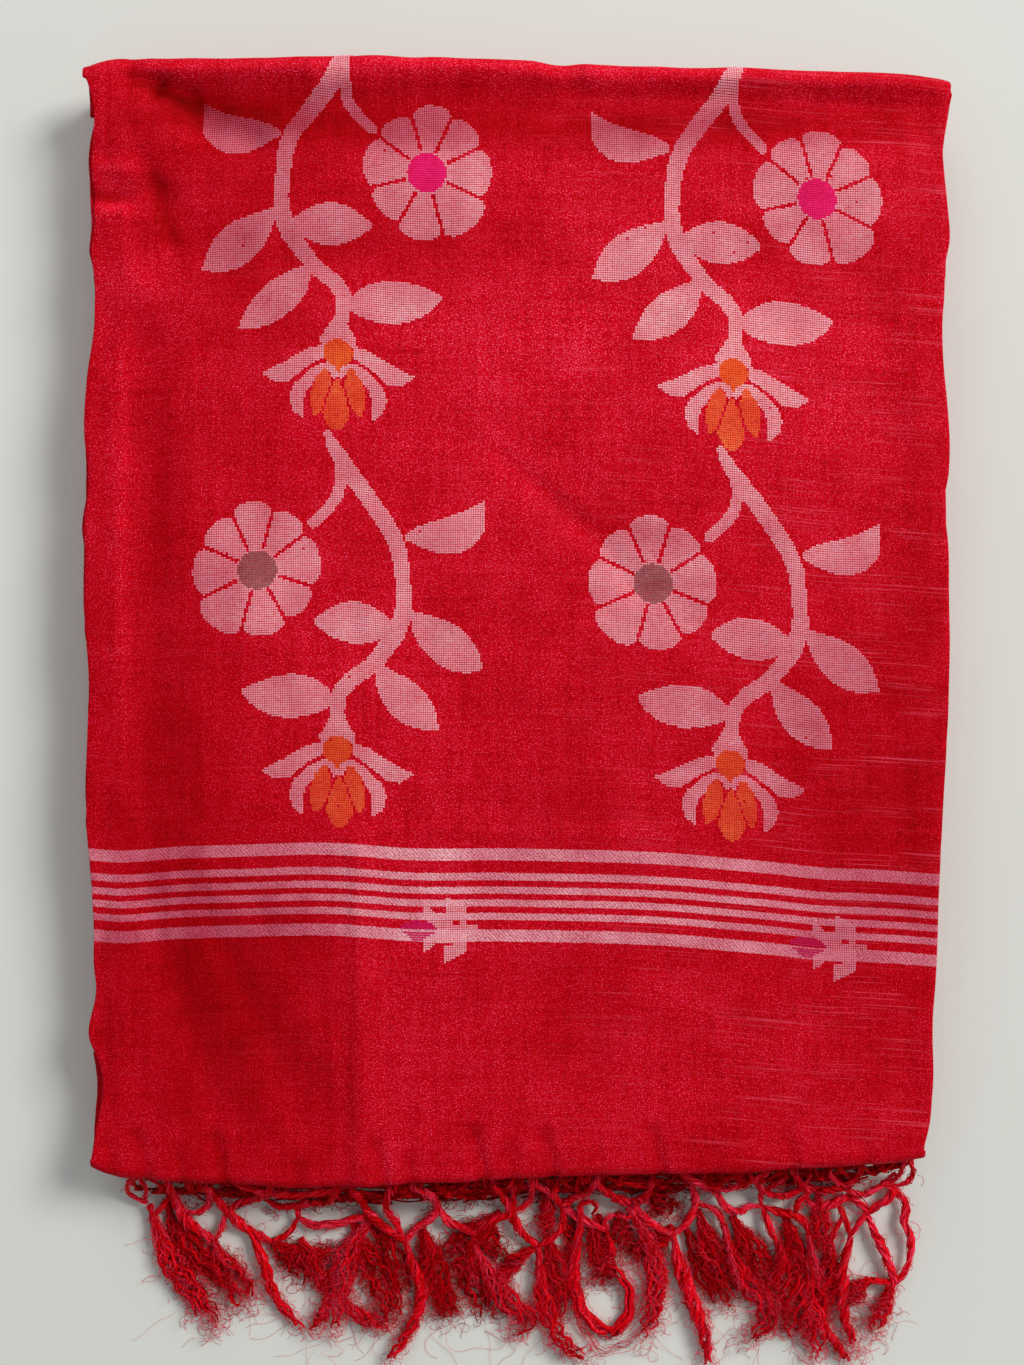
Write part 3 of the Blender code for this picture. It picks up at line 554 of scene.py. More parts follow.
DRIFT_START, DRIFT_END = (2, 16), (84, 104)  # down the repeat, where the drift sets in and dies away
KNOB_PLACE, KNOB_SIZE = 108.3, (5.0, 4.7)
KNOB_STALK = ((0, 111, 2.4), (0, 114.2, 0.6))  # x, y, half width
UNIT_LENGTH, UNIT_HALF_WIDTH = 134.6, 56
VINE_START = -274.5
MISSING_SHARE = 0.0008
PINK_COVER, OTHER_COVER = (0.78, 0.72), (0.86, 0.80)  # a thread's share of its cell, across and down
CELL_SEED, BUTI_SEED, THREAD_SEED = 20, 40, 60
BUTIS = ((-24.1, 27.8), (108.1, 27.5))  # u, v
BUTI_LEFT, BUTI_RIGHT, BUTI_HALF = 17, 13, 13  # how far a small flower reaches from its place
BUTI = (
    ((0, -11.3), (1.3, -11.3), (2.6, -10.2), (7.4, -7.6), (7.4, -3.2), (0, -3.2)),
    ((-7.4, -10.0), (-5.7, -10.0), (-5.7, -7.8), (-3.8, -6.4), (-3.8, -5.8), (-7.4, -5.8)),
    ((-7.4, -5.9), (7.4, -5.9), (7.4, -3.1), (-6.0, -3.1)),
    ((-6.0, -3.3), (2.5, -3.3), (2.5, -1.8), (4.7, -1.8), (4.7, -3.3),
        (7.4, -3.3), (7.4, 0), (-1.7, 0), (-3.8, -2.0)),
    ((7.4, -1.8), (10.8, -1.8), (10.8, 1.2), (9.8, 1.2), (9.1, -0.4), (8.7, 1.2), (7.4, 0.4)),
    ((-7.4, 2.9), (-2.1, -0.1), (7.4, -0.1), (7.4, 4.3), (-7.4, 4.3)),
    ((-7.4, 4.1), (-2.4, 4.1), (-4.9, 6.0), (-7.4, 7.9)),
    ((-0.2, 5.1), (7.4, 4.1), (7.4, 7.2), (-0.6, 11.2)),
)
BUTI_EYE = ((-15.1, -1.3), (-11.1, -3.7), (-7.4, -3.7), (-4.3, -2.4), (-2.1, -0.4), (-2.1, 0), (-14.4, 0))
BUTI_LINES = ((0.7, -14.6, -3.6), (1.5, -13.0, -4.7), (2.3, -12.1, -6.4), (3.1, -11.0, -7.7))  # y, x, x


def in_polygon(x, y, corners):
    found = np.zeros(np.shape(x), bool)
    for (x0, y0), (x1, y1) in zip(corners, corners[1:] + corners[:1]):
        if y0 != y1:
            crosses = (y0 > y) != (y1 > y)
            found ^= crosses & (x < (x1 - x0) * (y - y0) / (y1 - y0) + x0)
    return found


def in_band(x, y, rows):
    """True within the half width that the table gives along its line."""
    found = np.zeros(np.shape(x), bool)
    for (x0, y0, w0), (x1, y1, w1) in zip(rows, rows[1:]):
        away, share = from_line(x, y, x0, y0, x1, y1)
        found |= away < mixed(w0, w1, share)
    return found


def bowed(points, steps=10):
    """The smooth line through four points, evenly spaced along it."""
    t = np.linspace(0, 1, steps + 1)
    basis = [
        (1 - 3 * t) * (2 - 3 * t) * (1 - t) / 2,
        9 * t * (2 - 3 * t) * (1 - t) / 2,
        9 * t * (3 * t - 1) * (1 - t) / 2,
        t * (3 * t - 1) * (3 * t - 2) / 2,
    ]
    return list(zip(*(sum(b * p[axis] for b, p in zip(basis, points)) for axis in (0, 1))))


def in_leaf(x, y, leaf):
    return in_polygon(x, y, bowed(leaf[:4]) + bowed(leaf[4:])[::-1])


def flower_kinds(x, y, disc):
    """The flower: petals parted by thin lines, round a disc of its own colour."""
    radius = np.hypot(x, y)
    angle = np.degrees(np.arctan2(-y, x)) % 360
    kinds = np.zeros(np.shape(x), int)
    for (start, reach), (end, _) in zip(PETALS, PETALS[1:] + PETALS[:1]):
        turned, width = (angle - start) % 360, (end - start) % 360
        edge = reach * (1 - PETAL_DIP * np.abs(2 * turned / width - 1) ** PETAL_ROUNDING)
        away = radius * np.radians(np.minimum(turned, width - turned))
        kinds[(turned < width) & (radius < edge) & ((away > PETAL_LINE) | (radius < DISC + 0.6))] = PINK
    kinds[radius < DISC] = disc
    return kinds


def half_unit_kinds(x, y, disc, flower, drift):
    """Which thread is inlaid at a place of one half of the vine's repeat."""
    drifted = x - drift * (1 - smooth_step(y, *DRIFT_END)) * smooth_step(y, *DRIFT_START)
    kinds = np.where(in_band(drifted, y, STEM) | in_band(drifted, y, FLOWER_BRANCH), PINK, 0)
    for leaf in LEAVES:
        kinds[in_leaf(drifted, y, leaf)] = PINK
    blossom = flower_kinds(x - flower[0], y - flower[1], disc)
    kinds = np.where(blossom > 0, blossom, kinds)
    kinds[in_polygon(x, y, COLLAR)] = PINK
    for side_x in (x, -x):
        kinds[in_polygon(side_x, y, UPPER_SEPAL) | in_band(side_x, y, LOWER_SEPAL)] = PINK
        kinds[in_band(side_x, y, PARTING)] = 0
        kinds[in_band(side_x, y, SIDE_PETAL)] = PETAL
    kinds[in_polygon(x, y, THROAT)] = PINK
    kinds[in_band(x, y, [(place, down, half + CENTRE_GAP) for place, down, half in CENTRE_PETAL])] = 0
    kinds[in_band(x, y, CENTRE_PETAL)] = PETAL
    in_knob = (x / KNOB_SIZE[0]) ** 2 + ((y - KNOB_PLACE) / KNOB_SIZE[1]) ** 2 < 1
    kinds[in_knob | in_band(x, y, KNOB_STALK)] = KNOB
    return kinds


def buti_kinds(x, y):
    kinds = np.zeros(np.shape(x), int)
    kinds[in_polygon(x, y, BUTI_EYE)] = WINE
    for corners in BUTI:
        kinds[in_polygon(x, y, corners)] = PINK
    for line, start, end in BUTI_LINES:
        kinds[(np.abs(y - line) < CELL / 2) & (x > start) & (x < end)] = WINE
    return kinds


def woven_point(x, v, lift):
    """The point over a place of the weave, on the top or round the fold at the back."""
    y = STRIPE_TOP + along(WEFT_BOW, x) - v
    brink = back_y(x) - BACK_FOLD_RADIUS
    turn = np.maximum(y - brink, 0) / BACK_FOLD_RADIUS
    radius = BACK_FOLD_RADIUS + lift
    z = surface_height(x, np.minimum(y, brink))
    y_out = np.where(turn > 0, brink + radius * np.sin(turn), y)
    z_out = np.where(turn > 0, z - BACK_FOLD_RADIUS + radius * np.cos(turn), z + lift)
    return np.stack([*trimmed(x, y_out), z_out], -1)


def cells_of(kinds_at, u_range, v_range, seed):
    """The places and kinds of the cells in a stretch of the weave, a few of them missing."""
    u, v = (each.ravel() for each in np.meshgrid(np.arange(*u_range, CELL), np.arange(*v_range, CELL)))
    kinds = kinds_at(u, v)
    kept = np.flatnonzero(kinds > 0)
    kept = kept[np.random.RandomState(seed).uniform(size=len(kept)) >= MISSING_SHARE]
    return u[kept], v[kept], kinds[kept]


def inlay_mesh(name, cells, materials, seed):
    """Every cell is a short length of thread that stands a little proud of the cloth."""
    u, v, kinds = (np.concatenate(each) for each in zip(*cells))
    rand = np.random.RandomState(seed)
    count = len(u)
    cover = [np.where(kinds == PINK, pink, other) for pink, other in zip(PINK_COVER, OTHER_COVER)]
    wide = CELL * cover[0] * rand.uniform(0.95, 1.04, count)
    tall = CELL * cover[1] * rand.uniform(0.93, 1.06, count)
    u = u + rand.uniform(-0.02, 0.02, count) + 0.10 * noise(u, v, 12, seed)
    v = v + rand.uniform(-0.02, 0.02, count) + 0.10 * noise(u, v, 14, seed + 1)
    rise = rand.uniform(0.08, 0.15, count)
    points, uv = [], []
    for down, lift in ((-0.5, 0.03), (0.0, 1.0), (0.5, 0.03)):
        for aside in (-0.5, 0.5):
            place = (u + aside * wide, v + down * tall)
            points.append(woven_point(*place, 0.07 + rise * lift))
            uv.append(np.stack(place, -1))
    points, uv = np.stack(points, 1).reshape(-1, 3), np.stack(uv, 1).reshape(-1, 2)
    quads = np.array([[2, 3, 1, 0], [4, 5, 3, 2]])
    faces = (np.arange(count)[:, None, None] * 6 + quads).reshape(-1, 4)
    bake = 0.01 + 0.98 * (uv - uv.min(0)) / (uv.max(0) - uv.min(0))
    # Painted light and shade, with mottle, at each point of the threads.
    shade = painted_light_and_mottle(points[:, 0], points[:, 1])
    obj = make_mesh(name, points, faces, materials[0], uv * MM, bake, shade=shade)
    for material in materials[1:]:
        obj.data.materials.append(material)
    obj.data.polygons.foreach_set("material_index", np.repeat(kinds - 1, 2))
    return obj


def build_inlay(materials):
    made = []
    for side, name in ((-1, "jamdani_vine_left"), (1, "jamdani_vine_right")):
        cells = []
        for number, (axis, top, way, disc, flower_x, flower_y, drift, beat) in enumerate(COPIES):

            def kinds_at(u, v):
                return half_unit_kinds(way * (u - axis), (v - top) / beat, disc, (flower_x, flower_y), drift)

            if (axis > 0) == (side > 0):
                across = (axis - UNIT_HALF_WIDTH, axis + UNIT_HALF_WIDTH)
                down = (max(top - 2, VINE_START), top + UNIT_LENGTH)
                cells.append(cells_of(kinds_at, across, down, CELL_SEED + number))
        made.append(inlay_mesh(name, cells, materials, THREAD_SEED + side))
    cells = [
        cells_of(
            lambda a, b: buti_kinds(a - u, b - v), (u - BUTI_LEFT, u + BUTI_RIGHT),
            (v - BUTI_HALF, v + BUTI_HALF), BUTI_SEED + number,
        )
        for number, (u, v) in enumerate(BUTIS)
    ]
    made.append(inlay_mesh("jamdani_butis", cells, materials, THREAD_SEED + 11))
    return made


# The layers under it

SECOND_BAND = 14.0
SECOND_DROP = STRIP_WALL + 3 * GAP
SECOND_SHOWS = (  # y, how far it stands out
    (-120, -1.0), (-90, 0.2), (-60, 0.8), (-10, 0.4), (20, 1.0),
    (45, 1.2), (70, 0.2), (110, 0.3), (150, 1.8), (164, 1.2), (176, -1.0),
)
SECOND_FRONT, SECOND_BACK = -110.0, 168.0
TUCK_FRONT, TUCK_SIDE = 5.6, 2.5
SLOT_FRONT_DROP = TUCK_DROP + STRIP_WALL + 3 * GAP
SLOT_BACK_DROP = 2 * BACK_FOLD_RADIUS + 2 * GAP
LOWER_STRIPS = 8
LOWER_IN = 2.6
STACK_COLUMNS, STACK_ROWS = 46, 66
STRIP_STEPS, NOSE_STEPS = 16, 25
# Painted shade: the hidden layers are painted a little darker all over.
STACK_PAINTED_SHADE = 0.94
PEEKING_SHIFT, TUCKED_SHIFT = (180, 60), -60  # from the top's place in the weave, so that they differ
SIDES_SHIFT, CAP_SHIFT, CAP_RISE = 400, 2000, 30.0  # the same for the stack's sides and its top


def build_peeking(material):
    """The band of the next stretch that shows past the left edge."""
    rows, columns = 170, 26
    y = mixed(SECOND_FRONT, SECOND_BACK, np.linspace(0, 1, rows))[:, None]
    edge = edge_x(0.0, y)
    left = edge - along(SECOND_SHOWS, y) - 0.25 * noise(y, 0, 5, 31)
    x = mixed(left, edge + SECOND_BAND, np.linspace(0, 1, columns)[None, :] ** 1.4)
    z = top_height(x, y) - SECOND_DROP + 0.12 * noise(x, y, 7, 32)
    outer = np.stack([*trimmed(x, y), z], -1)
    uv = (np.stack([x, woven_v(x, y)], -1) + PEEKING_SHIFT) * MM
    return make_slab("peeking_layer", outer, 33, material, uv, inner_step=5)


def build_tucked(material):
    """The end of the length, folded under the front flap."""
    rows, columns = 16, 130
    share = np.linspace(0, 1, columns)[None, :]
    depth = np.linspace(TUCK_FRONT, FRONT_FLAP, rows)[:, None]
    x, y = inside(share, 0.0)
    z = front_height(x) - TUCK_DROP
    y = y + depth
    x = edge_x(share, y) + TUCK_SIDE * (1 - 2 * share)
    y = y + 0.3 * noise(x, 0, 9, 34) * (depth < 8)
    z = z + 0.08 * noise(x, y, 8, 35)
    uv = np.stack([x, y + TUCKED_SHIFT], -1) * MM
    return make_slab("tucked_cloth", np.stack([x, y, z], -1), 36, material, uv, inner_step=6)


def strip_shift(strip, side):
    return 0.8 * np.sin(2.3 * strip + 1.7 * side) + 0.4 * np.sin(5.1 * strip + side)


def slot_heights(x, y):
    """The floor and the ceiling of the slot that holds the flaps."""
    at_front = 1 - smooth_step(y - front_y(x), FRONT_FLAP + 8, FRONT_FLAP + 40)
    at_back = 1 - smooth_step(back_y(x) - y, BACK_FLAP + 8, BACK_FLAP + 40)
    roof = STRIP_WALL + 3 * GAP
    front = [front_height(x) - drop for drop in (SLOT_FRONT_DROP, 2 * FRONT_FOLD_RADIUS - roof)]
    back = [back_height(x) - drop for drop in (SLOT_BACK_DROP, 2 * BACK_FOLD_RADIUS - roof)]
    middle = mixed(sum(front), sum(back), smooth_step(y, -HALF_LENGTH, HALF_LENGTH)) / 2
    return [
        mixed(mixed(middle + apart, front[i], at_front), back[i], at_back)
        for i, apart in enumerate((-0.4, 0.4))
    ]


def stack_top(x, y):
    near = ((0, 0), (-5, 0), (5, 0), (0, -5), (0, 5))
    return np.min([top_height(x + dx, y + dy) for dx, dy in near], axis=0) - STRIP_WALL - 2 * GAP - 0.3


def seat(x, y, z):
    """Lower the stack under the band that shows at the left edge."""
    in_x = 1 - smooth_step(x - edge_x(0.0, y), SECOND_BAND + 1, SECOND_BAND + 4)
    in_y = smooth_step(y, SECOND_FRONT - 4, SECOND_FRONT - 1)
    in_y = in_y * (1 - smooth_step(y, SECOND_BACK + 1, SECOND_BACK + 4))
    low = top_height(x, y) - SECOND_DROP - STRIP_WALL - 2 * GAP
    return np.where(z > low, mixed(z, low, in_x * in_y), z)


def outline_places():
    """The shares across and up of the grid's edge, anticlockwise, and which side each is on."""
    c, r = STACK_COLUMNS, STACK_ROWS
    places = [(i, 0, 0) for i in range(c)] + [(c, i, 3) for i in range(r)]
    places += [(i, r, 1) for i in range(c, 0, -1)] + [(0, i, 2) for i in range(r, 0, -1)]
    return places


def inset_share(across, left, right):
    """The share across that leaves these margins at the two sides."""
    return mixed(left, 2 * HALF_WIDTH - right, across) / (2 * HALF_WIDTH)


def stack_levels(around, at_sides):
    """The rings of the stack from the ground up: heights, insets and waves.

    The heights are shares of the slot's floor, of its ceiling and of the stack's top. The insets
    are from the front, back, left and right. around is the place along the outline.
    """
    levels = []
    for level in range(LOWER_STRIPS * STRIP_STEPS):
        strip = level / STRIP_STEPS
        layer = np.floor(strip * LAYERS)
        ridge = np.sin(np.pi * ((strip * LAYERS) % 1.0)) ** 0.6
        swing = np.cos(np.pi * strip)
        insets = [LOWER_IN + 2.2 * (0.5 + 0.5 * way * swing) ** 2 - 0.14 * ridge for way in (-1, 1)]
        insets += [LOWER_IN / 2 + 1.3 * swing**10 - 0.34 * ridge] * 2
        insets = [inset + strip_shift(np.round(strip), side) for side, inset in enumerate(insets)]
        wavy = 0.45 * noise(around, 7.3 * layer, 17, 41) + 0.2 * noise(around, 3.1 * layer, 6, 42)
        levels.append(((strip / LOWER_STRIPS, 0, 0), insets, wavy * np.where(at_sides, 1.0, 0.45)))
    plain = (LOWER_IN, LOWER_IN, LOWER_IN / 2, LOWER_IN / 2)
    deep = (FRONT_FLAP + 2, BACK_FLAP + 2, 1.4 + LOWER_IN / 2, 1.4 + LOWER_IN / 2)
    levels += [((1, 0, 0), plain, 0.0), ((1, 0, 0), deep, 0.0), ((0, 1, 0), deep, 0.0)]
    noses = ((FRONT_FOLD_RADIUS, 0.6), (BACK_FOLD_RADIUS, 0.9))
    for turn in np.radians(np.linspace(-90, 90, NOSE_STEPS)):
        ends = [radius - (radius - STRIP_WALL - air) * np.cos(turn) for radius, air in noses]
        side = 0.7 + 0.9 * (1 - np.abs(np.sin(4 * turn)) ** 0.6)
        wavy = 0.25 * noise(around, 9 * np.floor(4 * turn / math.pi), 14, 43) * at_sides
        share = 0.5 + 0.5 * math.sin(turn)
        levels.append(((0, 1 - share, share), (*ends, side, side), wavy))
    return levels


def build_stack(material):
    """The hidden layers: rings from the ground up, ridged by the edges of the layers."""
    column, row, side = np.array(outline_places()).T
    across_all, up_all = np.linspace(0, 1, STACK_COLUMNS + 1), np.linspace(0, 1, STACK_ROWS + 1)
    across, up = across_all[column], up_all[row]
    around = np.cumsum(np.r_[0, np.hypot(np.diff(across) * ROUGH_WIDTH, np.diff(up) * ROUGH_LENGTH)])
    levels = stack_levels(around, side >= 2)
    push_x = (side == 2) * 1.0 - (side == 3)
    push_y = (side == 0) * 1.0 - (side == 1)
    rings = []
    for (on_floor, on_ceiling, on_top), (front, back, left, right), wavy in levels:
        x, y = inside(inset_share(across, left, right), up, front, back)
        x, y = x + wavy * push_x, y + wavy * push_y
        floor, ceiling = slot_heights(x, y)
        z = on_floor * floor + on_ceiling * ceiling + on_top * stack_top(x, y)
        rings.append(np.stack([x, y, seat(x, y, z)], -1))
    count, around_count = len(rings), len(side)
    grid_x, grid_y = np.meshgrid(across_all[1:-1], up_all[1:-1])
    x, y = inside(inset_share(grid_x, left, right), grid_y, FRONT_FOLD_RADIUS, BACK_FOLD_RADIUS)
    cap = np.stack([x, y, seat(x, y, stack_top(x, y))], -1).reshape(-1, 3)
    index = np.zeros((STACK_ROWS + 1, STACK_COLUMNS + 1), int)
    index[row, column] = (count - 1) * around_count + np.arange(around_count)
    index[1:-1, 1:-1] = count * around_count + np.arange(len(cap)).reshape(STACK_ROWS - 1, STACK_COLUMNS - 1)
    quads = np.stack([index[:-1, :-1], index[:-1, 1:], index[1:, 1:], index[1:, :-1]], -1).reshape(-1, 4)
    faces = np.concatenate([grid_faces(count, around_count), quads])
    sides = np.concatenate(rings)
    points = np.concatenate([sides, cap, rings[0].mean(0)[None]])
    j = np.arange(around_count)
    ground = np.stack([(j + 1) % around_count, j, np.full(around_count, len(points) - 1)], -1)
    rise = np.concatenate([sides[:, 2], np.full(len(cap), CAP_RISE), [0]])
    place = np.concatenate([np.tile(around, count), cap[:, 0] + CAP_SHIFT, [0]])
    uv = np.stack([rise + SIDES_SHIFT, place], -1) * MM
    level_share = (np.repeat(np.arange(count), around_count) + 0.5) / count
    bake_u = np.concatenate([np.tile(around / around[-1], count), (cap[:, 0] + 150) / 300, [0.5]])
    bake_v = np.concatenate([0.5 * level_share, 0.51 + 0.48 * (cap[:, 1] + 200) / 400, [0.001]])
    bake = np.clip(np.stack([bake_u, bake_v], -1), 0.001, 0.999)
    return make_mesh("folded_layers", points, faces, material, uv, bake, ground, STACK_PAINTED_SHADE)


# The fringe

CAMERA_PLACE = (-1.36, -21.93, 604.0)
HAIR_LIMIT_X, HAIR_LIMIT_Y = (-149.0, 150.0), -267.0
KNOT_LENGTH, KNOT_SPREAD, KNOT_ASIDE, END_REACH = 12.0, 3.4, 2.4, 5
LYING_HEIGHT = 1.9
ANY_TURN = 6.28
WOBBLE_WAVES = 3
BAKE_COLUMNS = 8
TANGLE_STRANDS, ROOT_ARCS, STRAY_HAIRS = 190, 5, 160
TANGLE_START, ARC_START = (-122, 128), (-126, 132)  # where strands may start, in x
TANGLE_LIMIT, NET_LIMIT = (-128, 134), (-130, 136)  # how far they may run, in x
LEFT_LOCKS_END, MIDDLE_LOCKS_END = -40, 55
HIDDEN_DEPTH = 3
FRINGE_SEED = 5
LOCK_SHAPES = (  # an open lock, then a rope; each row's names are those that add_tuft gives it
    (0.5, 1.42, 0.40, 1.0, 0.68, 0.9, 0.19, 4, 6.4, 1.0, 16, 7),
    (0.3, 1.1, 0.25, 3.0, 0.5, 0.45, 0.44, 5, 6.5, 0.6, 9, 5),
)
FALL = (  # length down the fringe, how far out from the front edge, height as a share of the root's
    (0, -3.8, 1.0), (6, 2.2, 0.97), (11, 6.0, 0.76), (17, 9.2, 0.36),
    (23, 13.0, 0.1), (30, 19.0, 0.0), (60, 49.0, 0.0), (90, 79.0, 0.0),
)
KNOTS = (  # x of the knots of the net's upper part, close under the fold
    -129.4, -117, -100.4, -86, -72, -60, -50.9, -28.6, -14.1, -1.4, 8.5,
    16.7, 26.2, 45, 55.2, 67.2, 78.6, 96.9, 110.7, 118.2, 125.2, 134.8,
)
CORDS = (  # half thickness, and the places of the floor that the cord is seen over
    (0.8, ((-132.5, -197.1), (-136.4, -197.8), (-137.1, -201.4), (-133.6, -204.2), (-130.4, -206))),
    (0.8, ((-132.5, -197.8), (-130.4, -201.4), (-131.1, -204.2), (-130.4, -206))),
    (1.7, ((-123, -198.9), (-120.2, -204.9), (-117.3, -210.6), (-112.7, -214.8), (-106.7, -219.1))),
    (1.1, ((-118, -208.5), (-113.1, -209.2), (-109.2, -207), (-108.1, -202.1))),
    (1.5, ((-109.6, -200.7), (-105.3, -204.9), (-100.4, -209.9), (-94, -215.5), (-86.2, -219.4))),
    (1.5, ((-101.4, -208.5), (-97.5, -205.6), (-91.9, -204.2), (-88.7, -203.2), (-86.2, -199.3))),
    (1.4, ((-88.7, -203.5), (-84.8, -206.7), (-78.4, -206.7), (-72.1, -205.6), (-65.4, -204.9),
        (-62.9, -201.4))),
    (0.9, ((-77.7, -206.3), (-76.7, -211.3))),
    (1.1, ((-77, -210.9), (-79.5, -215.2), (-82.7, -218), (-86.6, -219.4))),
    (1.4, ((-77, -210.9), (-72.1, -213.1), (-62.9, -212.7), (-57.9, -211.6), (-52.3, -210.2))),
    (1.6, ((-57.9, -201.4), (-54.4, -204.9), (-51.6, -209.5), (-46.6, -214.1), (-39.2, -219.4))),
    (1.3, ((-44.5, -201.4), (-45.9, -206.7), (-42.4, -212.7), (-39.2, -219.4))),
    (0.9, ((-106.7, -219.1), (-103.9, -214.8), (-102.5, -209.2))),
    (1, ((-128.7, -210.9), (-124.8, -206.7), (-121.6, -202.8))),
    (1.4, ((-39.2, -219.4), (-35, -214.1), (-29.6, -210.6), (-27.9, -207), (-30.4, -202.8),
        (-36.7, -200.7))),
    (1.4, ((-27.9, -207), (-24, -212), (-19, -214.5), (-14.1, -216.6))),
    (1.3, ((-14.1, -216.6), (-10.6, -213.4), (-5.6, -210.9), (-2.4, -209.5), (-1, -206), (-0.7, -200.7))),
    (1.5, ((-7.7, -200), (-4.2, -203.9), (-1.7, -209.2), (2.5, -216.6), (7.8, -221.2))),
    (1.1, ((-1.7, -209.2), (2.5, -207), (5.4, -203.2), (5.7, -198.6))),
    (1.5, ((7.1, -200), (12.4, -202.1), (16, -206), (20.6, -203.5), (25.5, -201.4), (29, -197.5))),
    (1.2, ((7.8, -221.2), (12.4, -218.4), (16, -214.8), (16.7, -209.2), (16, -206))),
    (1.3, ((16, -207), (22, -210.6), (27.6, -213.4), (32.2, -215.5))),
    (1.6, ((29, -199.3), (34.4, -203.5), (40.4, -205.3), (45.7, -203.5), (48.1, -199.3))),
    (0.9, ((22, -210.6), (22.7, -206.3), (26.2, -204.9), (28.7, -207), (26.9, -209.9))),
    (1, ((32.2, -215.5), (31.2, -212), (34.4, -209.9), (39.7, -210.9), (42.1, -208.5), (41.4, -204.2))),
    (1.3, ((42.1, -206.3), (46, -211.3), (51, -214.8), (55.6, -216.9))),
    (1.4, ((55.6, -216.9), (59.5, -213.4), (62.3, -209.2), (63.3, -204.2), (61.9, -199.3))),
    (1.1, ((32.2, -215.5), (33.6, -220.8), (34.4, -225.4))),
    (1, ((63.3, -206), (67.9, -207), (71.5, -209.5), (73.2, -214.1))),
    (1.3, ((65.1, -200), (70.8, -202.1), (74, -207), (78.2, -208.8), (82.8, -207), (87, -207))),
    (1, ((87, -207), (86.3, -202.8), (89.9, -200), (95.5, -197.1))),
    (1.3, ((87.4, -207), (93.4, -209.2), (98.7, -210.2), (101.9, -212.7), (103.7, -217.6))),
    (1.2, ((98.7, -209.9), (99.4, -206), (102.6, -202.1), (100.5, -198.6))),
    (1.2, ((87.4, -207.4), (89.2, -213.4), (92.3, -220.1))),
    (1.5, ((102.6, -204.9), (106.1, -207.4), (111.8, -206), (116.7, -203.5), (122.4, -206.7),
        (124.2, -209.2))),
    (1.5, ((124.2, -209.2), (128.1, -206.3), (132.3, -203.5), (133.4, -200.7), (128.8, -198.6))),
    (0.9, ((113.9, -206.3), (115.3, -209.9), (112.9, -214.8), (111.1, -219.8))),
    (0.9, ((139.4, -191.1), (140.4, -195), (138.7, -197.8), (133.4, -200))),
    (0.8, ((137.3, -191.8), (135.8, -195), (133.4, -197.8), (131.6, -200))),
    (1.2, ((133.4, -200.7), (137.6, -205.6), (136.5, -212), (139.4, -217.6), (139.4, -223.3),
        (136.9, -230.4), (134.1, -234.3))),
    (0.7, ((132.3, -201.4), (135.8, -203.9), (138.7, -208.1), (137.6, -212.7), (140.1, -217.6))),
    (1.6, ((123.8, -209.5), (128.1, -219.1), (131.6, -226.8), (133.4, -233.2), (132.2, -238.4))),
    (1.3, ((134.1, -233.9), (128.8, -233.6), (123.8, -233.2), (120.3, -236.7))),
    (1.1, ((118.2, -217.6), (121, -212.7), (124.2, -209.2))),
    (1, ((118.2, -217.6), (116.7, -212.7), (113.9, -207))),
    (1.4, ((60, -196), (67, -199.6), (75, -200.4), (82, -198.4), (88, -195.6))),
    (1.2, ((83, -196.4), (88, -201.6), (94, -203.4), (100, -201), (104, -196.4))),
    (1.4, ((98, -195.4), (103, -200.6), (110, -201.2), (117, -199), (122, -194.8))),
    (1.1, ((111, -195.8), (116, -200.6), (122, -202.6), (129, -199.6), (134, -195))),
    (1.3, ((-102, -197.6), (-94, -200.6), (-84, -202.4), (-74, -202.6), (-65, -201), (-57, -197.8))),
)
